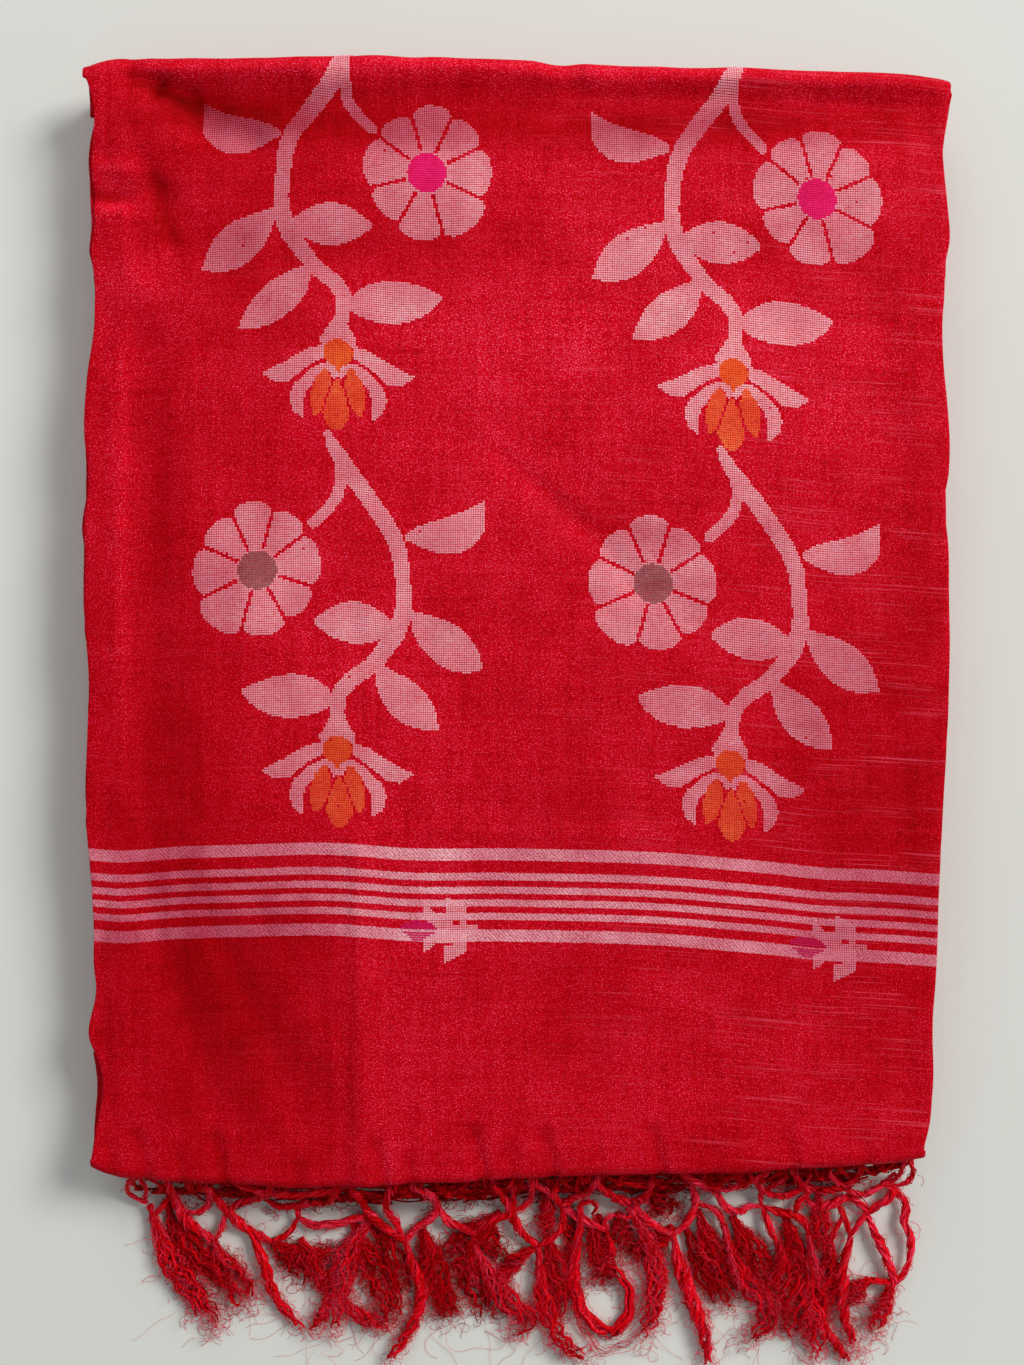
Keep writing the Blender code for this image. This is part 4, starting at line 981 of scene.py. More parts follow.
TUFTS = (  # half width, depth in the tangle, 1 for a rope, and the places it is seen over
    (3.5, 0, 0, ((-129.4, -206.3), (-125.5, -218.0), (-121.6, -226.8), (-115.9, -235.0), (-111.0, -242.8),
        (-105.3, -250.9))),
    (4.4, 1, 0, ((-106.7, -219.1), (-103.9, -226.8), (-98.2, -235.3), (-93.3, -242.4))),
    (3.4, 2, 0, ((-118.8, -209.2), (-116.6, -218.4), (-109.9, -226.8), (-101.8, -235.7))),
    (1.9, 0, 1, ((-94, -214.8), (-88.8, -226.8), (-86.2, -236), (-81.3, -243.8), (-73.1, -252.3))),
    (1.3, 0, 1, ((-63.9, -237.4), (-68.5, -244.5), (-73.1, -252.3))),
    (2.8, 2, 0, ((-86.2, -219.4), (-79.2, -223.3), (-72.1, -224.7), (-63.6, -222.6))),
    (2.2, 1, 0, ((-76.3, -218.4), (-72.1, -225.4), (-69.3, -232.5), (-62.9, -238.9))),
    (4.4, 0, 0, ((-50.9, -210.6), (-56.5, -219.1), (-61.5, -229), (-64.3, -241), (-67.1, -253.7))),
    (4.6, 2, 0, ((-57.9, -212.7), (-51.6, -226.8), (-45.9, -236.7), (-42.4, -248.1))),
    (2.2, 0, 0, ((-62.2, -238.9), (-57.2, -244.5), (-50.2, -247.4), (-43.1, -249.5))),
    (2.2, 0, 1, ((-39.2, -219.4), (-36.7, -226.8), (-33.5, -236.7), (-35.7, -246.6), (-41, -255.8),
        (-46.6, -262.6))),
    (4.2, 2, 0, ((-33.9, -212.7), (-30.4, -224.4), (-26.8, -235), (-22.6, -244.5))),
    (2.2, 1, 0, ((-14.1, -216.6), (-15.2, -224.4), (-14.4, -234.6))),
    (3.2, 0, 0, ((-15.5, -220.5), (-9.1, -231.4), (-2.8, -240.3), (3.9, -247.4), (-2.8, -253.4))),
    (4.2, 2, 0, ((-5.6, -209.2), (-13.4, -216.2), (-20.5, -221.9), (-26.1, -226.8))),
    (2.4, 0, 0, ((7.8, -221.2), (8.5, -229.7), (9.6, -240.3), (14.2, -250.9), (19.9, -257.6),
        (26.9, -260.4))),
    (2.3, 1, 0, ((7.8, -221.2), (1.5, -224.7), (-3.5, -229.7), (-7.7, -237.4))),
    (3.4, 2, 0, ((10.3, -216.2), (14.2, -229), (15.6, -240.3), (12.1, -247.4))),
    (3, 2, 0, ((26.2, -212.7), (29, -222.6), (31.9, -230.4), (26.2, -234.6))),
    (2.8, 0, 0, ((39.7, -207), (47.4, -220.8), (49.6, -235), (47.4, -247.4), (45, -255.5))),
    (3.4, 2, 0, ((55.6, -214.1), (51, -219.1), (43.9, -222.6), (39, -224.7))),
    (2.8, 0, 1, ((55.6, -216.9), (57.5, -226.8), (61.6, -238.5), (65.8, -250.2), (68.2, -265))),
    (3.8, 2, 0, ((64.4, -208.5), (67.9, -219.1), (71.5, -231.8), (78.2, -242.4))),
    (2.9, 0, 0, ((73.2, -213.4), (75.7, -222.6), (80.7, -233.2), (87.7, -241), (88.5, -246.6),
        (83.5, -252.3), (78.6, -255.5))),
    (4, 2, 0, ((76.4, -210.6), (82.1, -220.5), (87, -229), (86.3, -238.9))),
    (5.2, 1, 0, ((92.3, -219.1), (95.5, -230.4), (98.4, -243.1), (100.5, -255.8))),
    (2.7, 0, 0, ((103.7, -216.9), (104.7, -229.7), (106.5, -243.8), (105.8, -262.9))),
    (2.6, 2, 0, ((94.5, -209.2), (98.4, -220.8), (102.6, -233.2))),
    (1.6, 0, 1, ((107.5, -246.6), (113.2, -255.8), (118.2, -262.9))),
    (3.2, 2, 0, ((111.1, -218.4), (111.1, -227.9), (109, -240.3), (106.8, -248.1))),
    (2, 0, 1, ((118.2, -217.6), (115.7, -228.3), (115.3, -240.3), (118.2, -252.7), (122.4, -262.6))),
    (2.6, 1, 0, ((124.5, -233.2), (120.3, -236.7), (117.4, -241.7))),
    (3.0, 3, 0, ((-123.0, -206.0), (-121.6, -217.3), (-117.7, -229.0), (-111.7, -240.3), (-103.9, -248.1))),
    (3.2, 3, 0, ((-86.9, -219.1), (-82.3, -224.0), (-77.0, -229.0), (-73.5, -235.3))),
    (3.6, 3, 0, ((-51.6, -214.1), (-45.2, -222.6), (-40.3, -232.5), (-38.1, -241.7))),
    (3.4, 3, 0, ((-21.5, -226.8), (-16.2, -235.0), (-11.3, -241.0), (-9.1, -247.4))),
    (3.4, 3, 0, ((-26.8, -233.9), (-24.7, -240.3), (-23.3, -248.1))),
    (3.2, 3, 0, ((-9.1, -212.7), (-8.4, -219.1), (-5.6, -226.8))),
    (2.6, 3, 0, ((36.1, -209.5), (37.2, -215.5), (38.2, -221.9))),
    (4.0, 3, 0, ((47.4, -200.0), (52.0, -206.0), (55.2, -212.7))),
    (2.8, 1, 0, ((106.8, -202.1), (107.5, -212.7), (108.3, -225.4))),
    (2.4, 0, 0, ((132.3, -234.3), (130.9, -240.3), (128.1, -246.6), (125.2, -252.3))),
    (2.2, 1, 0, ((10.3, -202.1), (11.0, -209.2), (10.3, -217.3))),
    (2.6, 3, 0, ((17.7, -206.7), (19.9, -217.3), (20.9, -226.8))),
    (2.6, 3, 0, ((29.0, -210.2), (30.5, -220.8), (29.0, -229.0))),
    (3.0, 3, 0, ((60.2, -214.8), (65.1, -226.8), (69.4, -236.7), (74.3, -242.4))),
)
RING = (  # x, y, z of the lock that curls round into a ring
    (22.4, -206, 6.0), (22.8, -211, 3.8), (21.0, -222, 2.6), (20.4, -233, 2.2), (22.6, -241.5, 2.2),
    (28.0, -248.6, 2.4), (35.0, -250.2, 2.6), (39.4, -244.6, 2.8), (39.8, -236.6, 3.2), (36.0, -230.0, 4.0),
    (30.6, -227.4, 4.6), (25.6, -230.6, 4.8), (22.0, -235.4, 4.2),
)


def root_height(x):
    return front_height(x) - TUCK_DROP - GAP - 0.7


def fringe_place(x, length):
    """The points that lie a length down the fringe, on the lines that start at x."""
    rows = np.array(FALL)
    share = np.maximum(0.0, along(rows[:, [0, 2]], length))
    z = mixed(LYING_HEIGHT, root_height(x), share)
    return np.stack([x, front_y(x) - along(rows[:, :2], length), z], -1)


def knot_place(number):
    """Where a knot of the net lies between two roots, as x and length down the fringe."""
    count = len(KNOTS)
    if 0 < number < count:
        x = (KNOTS[number - 1] + KNOTS[number]) / 2 + KNOT_ASIDE * math.sin(2.9 * number)
    else:
        x = KNOTS[0] - END_REACH / 2 if number == 0 else KNOTS[-1] + END_REACH / 2
    return x, KNOT_LENGTH + KNOT_SPREAD * math.sin(4.1 * number + 2)


def resampled(path, steps):
    """A smooth line through the rows of path, at steps even places along it."""
    path = np.asarray(path, float)
    at = np.r_[0, np.cumsum(np.linalg.norm(np.diff(path, axis=0), axis=1))]
    fine = np.linspace(0, at[-1], steps)
    return np.stack([along(np.stack([at, path[:, i]], 1), fine) for i in range(3)], -1)


def frames_of(paths, reference=(1, 0, 0)):
    """Two directions square to each path at each of its points."""
    run = np.gradient(paths, axis=1)
    run = run / np.maximum(np.linalg.norm(run, axis=2, keepdims=True), 1e-9)
    aside = np.array(reference, float) - (run @ np.array(reference, float))[..., None] * run
    aside = aside / np.maximum(np.linalg.norm(aside, axis=2, keepdims=True), 1e-6)
    return aside, np.cross(run, aside)


def frame_along(line):
    return (each[0] for each in frames_of(line[None]))


class Strands:
    """Many thin round strands gathered into one mesh."""

    def __init__(self):
        self.parts = []

    def add(self, paths, radii, shade, sides=3, reference=(1, 0, 0)):
        """Add strands: paths is strands by steps by xyz, and radii the radius at each."""
        paths = np.array(paths, float, ndmin=3)
        radii = np.broadcast_to(radii, paths.shape[:2])
        paths[..., 2] = np.maximum(paths[..., 2], radii + 0.12)
        aside, upward = frames_of(paths, reference)
        angle = 2 * math.pi * np.arange(sides) / sides
        ring = np.cos(angle)[:, None] * aside[:, :, None] + np.sin(angle)[:, None] * upward[:, :, None]
        length = np.cumsum(np.linalg.norm(np.diff(paths, axis=1, prepend=paths[:, :1]), axis=2), axis=1)
        shades = np.broadcast_to(shade, len(paths))
        self.parts.append((paths[:, :, None] + radii[:, :, None, None] * ring, length, shades))

    def build(self, name, material):
        rows = math.ceil(sum(len(points) for points, _, _ in self.parts) / BAKE_COLUMNS)
        groups = []
        base = first = 0
        for points, length, shades in self.parts:
            count, steps, sides, _ = points.shape
            starts = (base + np.arange(count) * steps * sides)[:, None, None]
            fan = np.stack([np.zeros(sides - 2, int), np.arange(1, sides - 1), np.arange(2, sides)], -1)
            ends = np.concatenate([fan[:, ::-1], (steps - 1) * sides + fan])
            number = (first + np.arange(count))[:, None, None]
            uv, bake = np.zeros((2, count, steps, sides, 2))
            uv[..., 0] = length[:, :, None]
            uv[..., 1] = shades[:, None, None] * 1000 + 0.45 * np.arange(sides)
            share = np.linspace(0.02, 0.98, steps)[None, :, None]
            bake[..., 0] = (number % BAKE_COLUMNS + share) / BAKE_COLUMNS
            bake[..., 1] = (number // BAKE_COLUMNS + (np.arange(sides) + 0.5) / sides) / rows
            quads = starts + grid_faces(steps, sides)
            group = ((points, 3), (quads, 4), (uv * MM, 2), (bake, 2), (starts + ends, 3))
            groups.append([values.reshape(-1, width) for values, width in group])
            base += count * steps * sides
            first += count
        points, faces, uv, bake, caps = (np.concatenate(each) for each in zip(*groups))
        return make_mesh(name, points, faces, material, uv, bake, caps)


def seen_line(places, steps, lift):
    """The line down the fringe that the camera sees over these places of the floor."""
    places = np.asarray(places, float)
    flat = resampled(np.column_stack([places, 0 * places[:, 0]]), steps)[:, :2]
    eye = np.array(CAMERA_PLACE[:2])
    _, out, share = np.array(FALL).T
    z = np.zeros(steps)
    for _ in range(14):
        x, y = (eye + (flat - eye) * (1 - z / CAMERA_PLACE[2])[:, None]).T
        z = mixed(LYING_HEIGHT, root_height(x), np.interp(front_y(x) - y, out, share))
    return np.stack([x, y, z + lift], -1)


def rooted(line):
    """Carry each end of a cord that lies close under the fold on to the fringe's root."""
    for _ in range(2):
        end = line[0]
        if front_y(end[0]) - end[1] < 8:
            root = fringe_place(end[0], -1.0)
            line = np.concatenate([[root, mixed(root, end, 0.5)], line])
        line = line[::-1]
    return line


def reach_of(line):
    return np.linalg.norm(np.diff(np.asarray(line, float), axis=0), axis=1).sum()


def wobble(rand, count, steps, low=0.8, high=2.6):
    """Smooth random sideways movement for many strands, strands by steps."""
    q = np.linspace(0, 1, steps)[None, :]
    total = np.zeros((count, steps))
    for _ in range(WOBBLE_WAVES):
        rate = rand.uniform(low, high, (count, 1)) * 2 * math.pi
        strength = rand.uniform(0.3, 1.0, (count, 1))
        total += strength * np.sin(rate * q + rand.uniform(0, ANY_TURN, (count, 1)))
    return total / WOBBLE_WAVES


def crimp(rand, count, at, low=3.0, high=7.0):
    """Two sideways waves a quarter turn apart, for strands that curl as they run."""
    turn = 2 * math.pi * at[None] / rand.uniform(low, high, (count, 1))
    turn = turn + rand.uniform(0, ANY_TURN, (count, 1))
    turn = turn + 1.5 * wobble(rand, count, len(at))
    return np.cos(turn), np.sin(turn)


def add_cord(strands, line, rand, half, shade, fuzz, plies):
    """A silky cord: plies that turn slowly about each other, pinched where it is tied."""
    steps = len(line)
    aside, upward = frame_along(line)
    at, q = np.linspace(0, reach_of(line), steps), np.linspace(0, 1, steps)
    swell = 0.55 + 0.55 * np.sin(math.pi * q) ** 0.7 + 0.10 * np.sin(at / 2.3 + rand.uniform(0, 6))
    pitch = rand.uniform(12, 24) * rand.choice([-1, 1])
    start = rand.uniform(0, ANY_TURN)

    def turned(turn, out):
        return (np.cos(turn)[:, None] * aside + 0.8 * np.sin(turn)[:, None] * upward) * out[:, None]

    for number in range(plies):
        turn = start + 2 * math.pi * (at / pitch + number / plies)
        lumps = 1 + 0.22 * wobble(rand, 1, steps, 1.5, 5.0)[0]
        middle = line + turned(turn, 0.50 * half * swell)
        strands.add(middle, 0.48 * half * swell * lumps, sides=5, shade=shade + rand.uniform(-0.3, 0.15))
    for _ in range(fuzz):
        turn = rand.uniform(0, ANY_TURN) + 2 * math.pi * at / pitch * rand.uniform(0.3, 1.3)
        turn = turn + 0.5 * wobble(rand, 1, steps, 2.0, 6.0)[0]
        loose = rand.uniform(0, 1.0) ** 2
        out = half * swell * rand.uniform(0.86, 1.02)
        out = out + loose * np.abs(np.sin(at / rand.uniform(1.2, 5) + rand.uniform(0, 6)))
        strands.add(line + turned(turn, out), rand.uniform(0.09, 0.2), shade=shade + rand.uniform(-0.45, 0.4))


def add_knot(strands, place, rand, steps=30):
    """Three tight turns of cord round a meeting of cords."""
    turn = np.linspace(0, 2 * math.pi * 2.6, steps)
    tilt = rand.uniform(-0.5, 0.5)
    down = np.sin(turn) * math.sin(tilt) + np.linspace(-0.9, 0.9, steps)
    ring = np.stack([np.cos(turn), down, np.sin(turn) * math.cos(tilt)], -1)
    strands.add(place + ring, 0.42, sides=5, reference=(0, 1, 0), shade=rand.uniform(-0.1, 0.3))


def kept_in(x, y, z):
    """Points that don't reach past the room that the fringe has."""
    return np.stack([np.clip(x, *HAIR_LIMIT_X), np.maximum(y, HAIR_LIMIT_Y), z], -1)


def add_hair(strands, start, heading, length, rand, bend, radius, shade):
    """A fibre that wanders over the ground. Bend is how sharply it curls, in radians a millimetre."""
    steps = max(6, int(length / 1.25))
    step = length / steps
    waves = 2 * math.pi * np.arange(steps) * step / rand.uniform(9, 30)
    curl = bend * np.sin(waves + rand.uniform(0, ANY_TURN))
    turn = heading + np.cumsum(curl + rand.normal(0, 0.3 * bend)) * step
    q = np.linspace(0, 1, steps)
    z = mixed(start[2], 0.3, smooth_step(q, 0, 0.6)) + 1.2 * np.abs(np.sin(q * rand.uniform(3, 9))) * (1 - q)
    path = kept_in(start[0] + np.cumsum(np.cos(turn)) * step, start[1] + np.cumsum(np.sin(turn)) * step, z)
    strands.add(path, radius * mixed(1.0, 0.7, q)[None], reference=(0, 0, 1), shade=shade)


def add_curls(strands, line, wide, high, count, rand, base):
    """Short curled fibres that stand out of a lock every way."""
    aside, upward = frame_along(line)
    share = np.linspace(0, 1, 8)[None]
    place = ((len(line) - 1) * rand.uniform(0.08, 1.0, count) ** 0.8).astype(int)
    out = rand.uniform(-1, 1, count) * rand.choice([1.0, 1.2, 1.9], count) * wide[place]
    rise = rand.uniform(-0.5, 1.2, count) * high[place]
    start = line[place] + out[:, None] * aside[place] + rise[:, None] * upward[place]
    heading = rand.uniform(0, 2 * math.pi, (count, 1))
    turn = heading + rand.choice([-1, 1], (count, 1)) * rand.uniform(1.2, 5.0, (count, 1)) * share
    reach = rand.uniform(0.35, 0.9, (count, 1))
    x = start[:, :1] + np.cumsum(np.cos(turn), axis=1) * reach
    y = start[:, 1:2] + np.cumsum(np.sin(turn), axis=1) * reach
    paths = kept_in(x, y, start[:, 2:] + rand.uniform(-0.8, 0.8, (count, 1)) * share)
    radii = rand.uniform(0.08, 0.13, (count, 1))
    strands.add(paths, radii, reference=(0, 0, 1), shade=base + rand.uniform(-0.2, 0.55, count))


def add_tuft(strands, hairs, line, half, depth, ropy, rand):
    """A loose lock: wavy plies under a frizz of fine fibres, thin at its neck and open at its tip."""
    (neck_end, fuller, taper, twists, core_out, core_wave, core_thick, core_sides,
        fibre_rate, opening, curl_rate, hair_rate) = LOCK_SHAPES[ropy]
    hidden = depth == HIDDEN_DEPTH
    steps = len(line)
    q, at = np.linspace(0, 1, steps), np.linspace(0, reach_of(line), steps)
    aside, upward = frame_along(line)
    neck = smooth_step(q, 0.02, neck_end)
    half = half * fuller
    wide = mixed(min(1.1, half), half, neck) * (1 - taper * q**4)
    wide = wide * (1 + 0.16 * wobble(rand, 1, steps, 1.0, 4.0)[0])
    high = np.minimum(wide, 1.2 + 0.22 * half)
    # Painted shade: a lock that lies deeper in the tangle is painted darker.
    base = 0.55 - 0.17 * depth
    twist = rand.uniform(0.2, 0.9) * twists * rand.choice([-1, 1])
    cores = 4 if ropy or hidden else 7
    wave_a, wave_b = crimp(rand, cores, at, 5, 12)
    for core in range(cores):
        turn = 2 * math.pi * (core / cores + twist * q) + rand.uniform(0, 0.8)
        a = np.cos(turn) * wide * core_out + core_wave * wave_a[core] * neck
        b = np.sin(turn) * high * 0.5 + 0.3 * wave_b[core] * neck
        radius = core_thick * np.minimum(wide, 3.6) * mixed(1.0, 0.30, q**2) + 0.08
        last = int(steps * rand.uniform(0.80, 0.97))
        points = line + a[:, None] * aside + b[:, None] * upward
        # Painted shade: the plies inside are painted darker than the frizz over them.
        strands.add(points[:last], radius[:last], sides=core_sides, shade=base + rand.uniform(-0.42, 0.02))
    fibres = int((12 + fibre_rate * half) * (0.6 if hidden else 1))
    polar = np.sqrt(rand.uniform(0.1, 1.0, (fibres, 1)))
    turn = rand.uniform(0, ANY_TURN, (fibres, 1))
    turn = turn + 2 * math.pi * twist * q[None] * rand.uniform(0.4, 1.2, (fibres, 1))
    loose = rand.uniform(0.15, 1.0, (fibres, 1)) ** 2
    wave_a, wave_b = crimp(rand, fibres, at)
    open_up = (0.3 + 0.7 * smooth_step(q, 0.1, 0.7))[None] * opening
    a = polar * np.cos(turn) * wide[None] * 1.1 + open_up * (0.6 + 2.2 * loose) * wave_a
    a = a + rand.uniform(-1, 1, (fibres, 1)) * q[None] ** 2 * (0.4 * half + 0.6)
    b = polar * np.sin(turn) * high[None] * 1.1 + open_up * (0.35 + 0.9 * loose) * wave_b
    drift = rand.uniform(-0.30, 0.05, (fibres, 1)) * q[None] ** 1.5
    run = np.gradient(line, axis=0) * steps
    points = line[None] + a[..., None] * aside + b[..., None] * upward + drift[..., None] * run[None]
    points[..., 0] = np.clip(points[..., 0], *HAIR_LIMIT_X)
    radius = rand.uniform(0.09, 0.16, (fibres, 1)) * mixed(1.0, 0.55, q[None] ** 2)
    strands.add(points, radius, shade=base + rand.uniform(-0.35, 0.55, fibres))
    add_curls(strands, line, wide, high, int(curl_rate * half), rand, base)
    heading = math.atan2(line[-1, 1] - line[-3, 1], line[-1, 0] - line[-3, 0])
    for _ in range(int((3 if hidden else hair_rate) * half)):
        place = int(steps * rand.uniform(0.25, 0.99) ** 0.7)
        start = line[place] + rand.uniform(-1, 1) * wide[place] * aside[place]
        start = start + np.array([0, 0, rand.uniform(-0.5, 1.2)])
        add_hair(
            hairs, start, heading + rand.normal(0, 1.1), rand.uniform(5, 13), rand, rand.uniform(0.3, 0.8),
            rand.uniform(0.07, 0.12), base + rand.uniform(-0.1, 0.5),
        )


def add_tangle(strands, rand, steps=14):
    """Loose yarn behind the net, close under the fold, painted dark as the shade there, with fine frizz
    through it.
    """
    share = np.linspace(0, 1, steps)
    for _ in range(TANGLE_STRANDS):
        reach = rand.uniform(12, 34) * rand.choice([-1, 1])
        x = np.clip(rand.uniform(*TANGLE_START) + reach * share, *TANGLE_LIMIT)
        length = rand.uniform(-1, 19) + rand.uniform(-3, 6) * share + 2.4 * wobble(rand, 1, steps)[0]
        line = fringe_place(x, length)
        line[:, 2] += rand.uniform(-2.4, -0.4)
        width = rand.uniform(0.5, 1.1) * (1 + 0.3 * wobble(rand, 1, steps)[0])
        strands.add(line, width * (1 - 0.02 * np.maximum(length, 0)), sides=4, shade=rand.uniform(-0.3, 0.2))
    for _ in range(TANGLE_STRANDS):
        at = np.linspace(0, rand.uniform(8, 20), 18)
        wave_a, wave_b = crimp(rand, 1, at)
        x = rand.uniform(*TANGLE_START) + at * rand.choice([-1, 1]) * rand.uniform(0.3, 1.0) + 1.2 * wave_a[0]
        length = rand.uniform(-1, 26) + rand.uniform(-0.3, 0.5) * at + 1.6 * wave_b[0]
        line = fringe_place(np.clip(x, *NET_LIMIT), length)
        line[:, 2] += rand.uniform(-1.5, 1.2)
        strands.add(line, rand.uniform(0.10, 0.2), shade=rand.uniform(-0.1, 0.5))


def add_leg(net, rand, start, end, bow, sag=0.0):
    """A thin cord of the net from one place down the fringe to another, bowed aside and sagging."""
    (x0, length0), (x1, length1) = start, end
    share = np.linspace(0, 1, 12)
    arch = np.sin(math.pi * share)
    line = fringe_place(mixed(x0, x1, share) + bow * arch, mixed(length0, length1, share) + sag * arch)
    line[:, 2] += 0.5 * arch * rand.uniform(-1.2, 0.6)
    add_cord(net, line, rand, rand.uniform(0.8, 1.4), shade=rand.uniform(-0.1, 0.3), fuzz=2, plies=2)


def build_net(rand):
    """The knotted net, the cords that the camera sees, and the tangle behind them."""
    net = Strands()
    # Painted shade: the net's legs, knots and arcs close under the fold get dark shades.
    for number, root in enumerate(KNOTS):
        for side in (0, 1):
            start = (root + (side - 0.5) * 1.6, -1.0)
            add_leg(net, rand, start, knot_place(number + side), rand.uniform(-3.0, 3.0))
        bow, sag = rand.uniform(-2.0, 2.0), rand.uniform(0.5, 7.0)
        add_leg(net, rand, knot_place(number), knot_place(number + 1), bow, sag)
        add_knot(net, fringe_place(*knot_place(number)), rand)
    for _ in range(ROOT_ARCS):
        x0 = rand.uniform(*ARC_START)
        x1 = np.clip(x0 + rand.uniform(-17, 17), *NET_LIMIT)
        share = np.linspace(0, 1, 22)
        length = -1 + rand.uniform(8, 17) * np.sin(math.pi * share) ** 1.2
        line = fringe_place(mixed(x0, x1, share), length)
        line[:, 2] += rand.uniform(-1.2, 0.4)
        add_cord(net, line, rand, rand.uniform(0.9, 1.7), shade=rand.uniform(0.0, 0.4), fuzz=4, plies=3)
    add_tangle(net, rand)
    for half, places in CORDS:
        reach = reach_of(places)
        line = seen_line(places, max(8, int(reach / 1.25)), 1.0)
        line[:, 2] += 0.8 * np.sin(math.pi * np.linspace(0, 1, len(line)))
        line = rooted(line)
        shade, fuzz = rand.uniform(0.45, 0.75), int(2 + 3 * half)
        add_cord(net, line, rand, half * 1.08, shade, fuzz, plies=3)
        wide = np.full(len(line), 0.9 * half)
        add_curls(net, line, wide, wide, int(0.4 * reach), rand, 0.5)
    return net


def build_fringe(material):
    """The tangled net, the loose locks in three pieces, and the stray hairs."""
    rand = np.random.RandomState(FRINGE_SEED)
    net, hairs = build_net(rand), Strands()
    locks = {side: Strands() for side in ("left", "middle", "right")}
    for half, depth, ropy, places in TUFTS:
        line = seen_line(places, max(14, int(reach_of(places) / 1.3)), 1.4 - 0.6 * depth)
        q = np.linspace(0, 1, len(line))
        line[:, 2] += 0.7 * q * np.sin(8 * q + 3 * half)
        middle = line[:, 0].mean()
        side = "left" if middle < LEFT_LOCKS_END else "middle" if middle < MIDDLE_LOCKS_END else "right"
        add_tuft(locks[side], hairs, line, half, depth, ropy, rand)
    add_tuft(locks["middle"], hairs, resampled(RING, 60), 2.3, 0, 1, rand)
    for _ in range(STRAY_HAIRS):
        places = TUFTS[rand.randint(len(TUFTS))][-1]
        x, y = places[rand.randint(1, len(places))]
        start = (x + rand.uniform(-4, 4), y + rand.uniform(-4, 4), rand.uniform(0.5, 3))
        add_hair(
            hairs, start, rand.uniform(-math.pi, 0), rand.uniform(10, 34), rand, rand.uniform(0.05, 0.3),
            rand.uniform(0.05, 0.08), rand.uniform(0.5, 1.0),
        )
    made = {"fringe_net": net, "fringe_hairs": hairs}
    made.update({"fringe_locks_" + side: strands for side, strands in locks.items()})
    return [strands.build(name, material) for name, strands in made.items()]


# Materials


class Nodes:
    """Short names for building a shader. A scale of two numbers is for across and down the weave."""

    def __init__(self, name):
        self.material = bpy.data.materials.new(name)
        self.material.use_nodes = True
        self.tree = self.material.node_tree
        self.shader = self.tree.nodes["Principled BSDF"]

    def node(self, kind, inputs=(), **settings):
        """A node with these settings, and with these values or links on its inputs."""
        made = self.tree.nodes.new(kind)
        for key, value in settings.items():
            setattr(made, key, value)
        for key, value in dict(inputs).items():
            self.put(value, made.inputs[key])
        return made

    def put(self, value, socket):
        if isinstance(value, bpy.types.NodeSocket):
            self.tree.links.new(value, socket)
        else:
            socket.default_value = value

    def math(self, operation, *values):
        return self.node("ShaderNodeMath", enumerate(values), operation=operation).outputs[0]

    def total(self, *terms):
        """The sum of the terms, each a value and its weight."""
        sums = None
        for value, weight in terms:
            term = self.math("MULTIPLY", value, weight)
            sums = term if sums is None else self.math("ADD", sums, term)
        return sums

    def mix(self, share, a, b):
        colours = [each if isinstance(each, bpy.types.NodeSocket) else (*each, 1) for each in (a, b)]
        inputs = {0: share, 6: colours[0], 7: colours[1]}
        return self.node("ShaderNodeMix", inputs, data_type="RGBA").outputs[2]

    def ramp(self, value, stops, constant=False):
        made = self.node("ShaderNodeValToRGB", {0: value})
        made.color_ramp.interpolation = "CONSTANT" if constant else "LINEAR"
        elements = made.color_ramp.elements
        while len(elements) < len(stops):
            elements.new(0.5)
        for element, (place, level) in zip(elements, stops):
            element.position = place
            element.color = (level, level, level, 1)
        return made.outputs[0]

    def times(self, vector, factors):
        return self.node("ShaderNodeVectorMath", {0: vector, 1: factors}, operation="MULTIPLY").outputs[0]

    def woven_place(self):
        """The place in the weave, in millimetres."""
        return self.times(self.node("ShaderNodeUVMap", uv_map="cloth").outputs[0], (1000, 1000, 1000))

    def split(self, vector):
        return self.node("ShaderNodeSeparateXYZ", {0: vector}).outputs

    def noise(self, vector, scale, detail, roughness):
        if isinstance(scale, tuple):
            vector, scale = self.times(vector, (*scale, 1)), 1.0
        inputs = {"Vector": vector, "Scale": scale, "Detail": detail, "Roughness": roughness}
        return self.node("ShaderNodeTexNoise", inputs).outputs["Fac"]

    def bump(self, height, strength, distance, normal=None):
        inputs = {"Strength": strength, "Distance": distance, "Height": height}
        if normal is not None:
            inputs["Normal"] = normal
        return self.node("ShaderNodeBump", inputs).outputs["Normal"]

    def with_painted_light(self, colour, green, blue):
        """The colour times the painted light and shade that the mesh keeps; green and blue follow it more
        steeply, so painted shade is redder.
        """
        kept = self.node("ShaderNodeAttribute", attribute_name="painted_light_and_mottle").outputs["Fac"]
        shares = {0: kept, 1: self.math("POWER", kept, green), 2: self.math("POWER", kept, blue)}
        return self.times(colour, self.node("ShaderNodeCombineXYZ", shares).outputs[0])

    def surface(self, colour, roughness, normal, sheen=0.0, sheen_tint=(1, 1, 1), specular=0.3):
        inputs = {
            "Base Color": colour, "Roughness": roughness, "Specular IOR Level": specular,
            "Sheen Weight": sheen, "Sheen Roughness": 0.45, "Sheen Tint": (*sheen_tint, 1),
        }
        if normal is not None:
            inputs["Normal"] = normal
        for key, value in inputs.items():
            self.put(value, self.shader.inputs[key])
        return self.material


RED_DARK = (0.34, 0.0001, 0.0006)
RED = (0.62, 0.0003, 0.0085)
# Painted glints: the bright pink of specks where the cloth's threads catch the light.
RED_PAINTED_GLINT = (0.98, 0.072, 0.172)
SLUB = (0.82, 0.08, 0.14)
STRIPE_DARK, STRIPE_PALE = (0.55, 0.068, 0.105), (0.97, 0.46, 0.52)
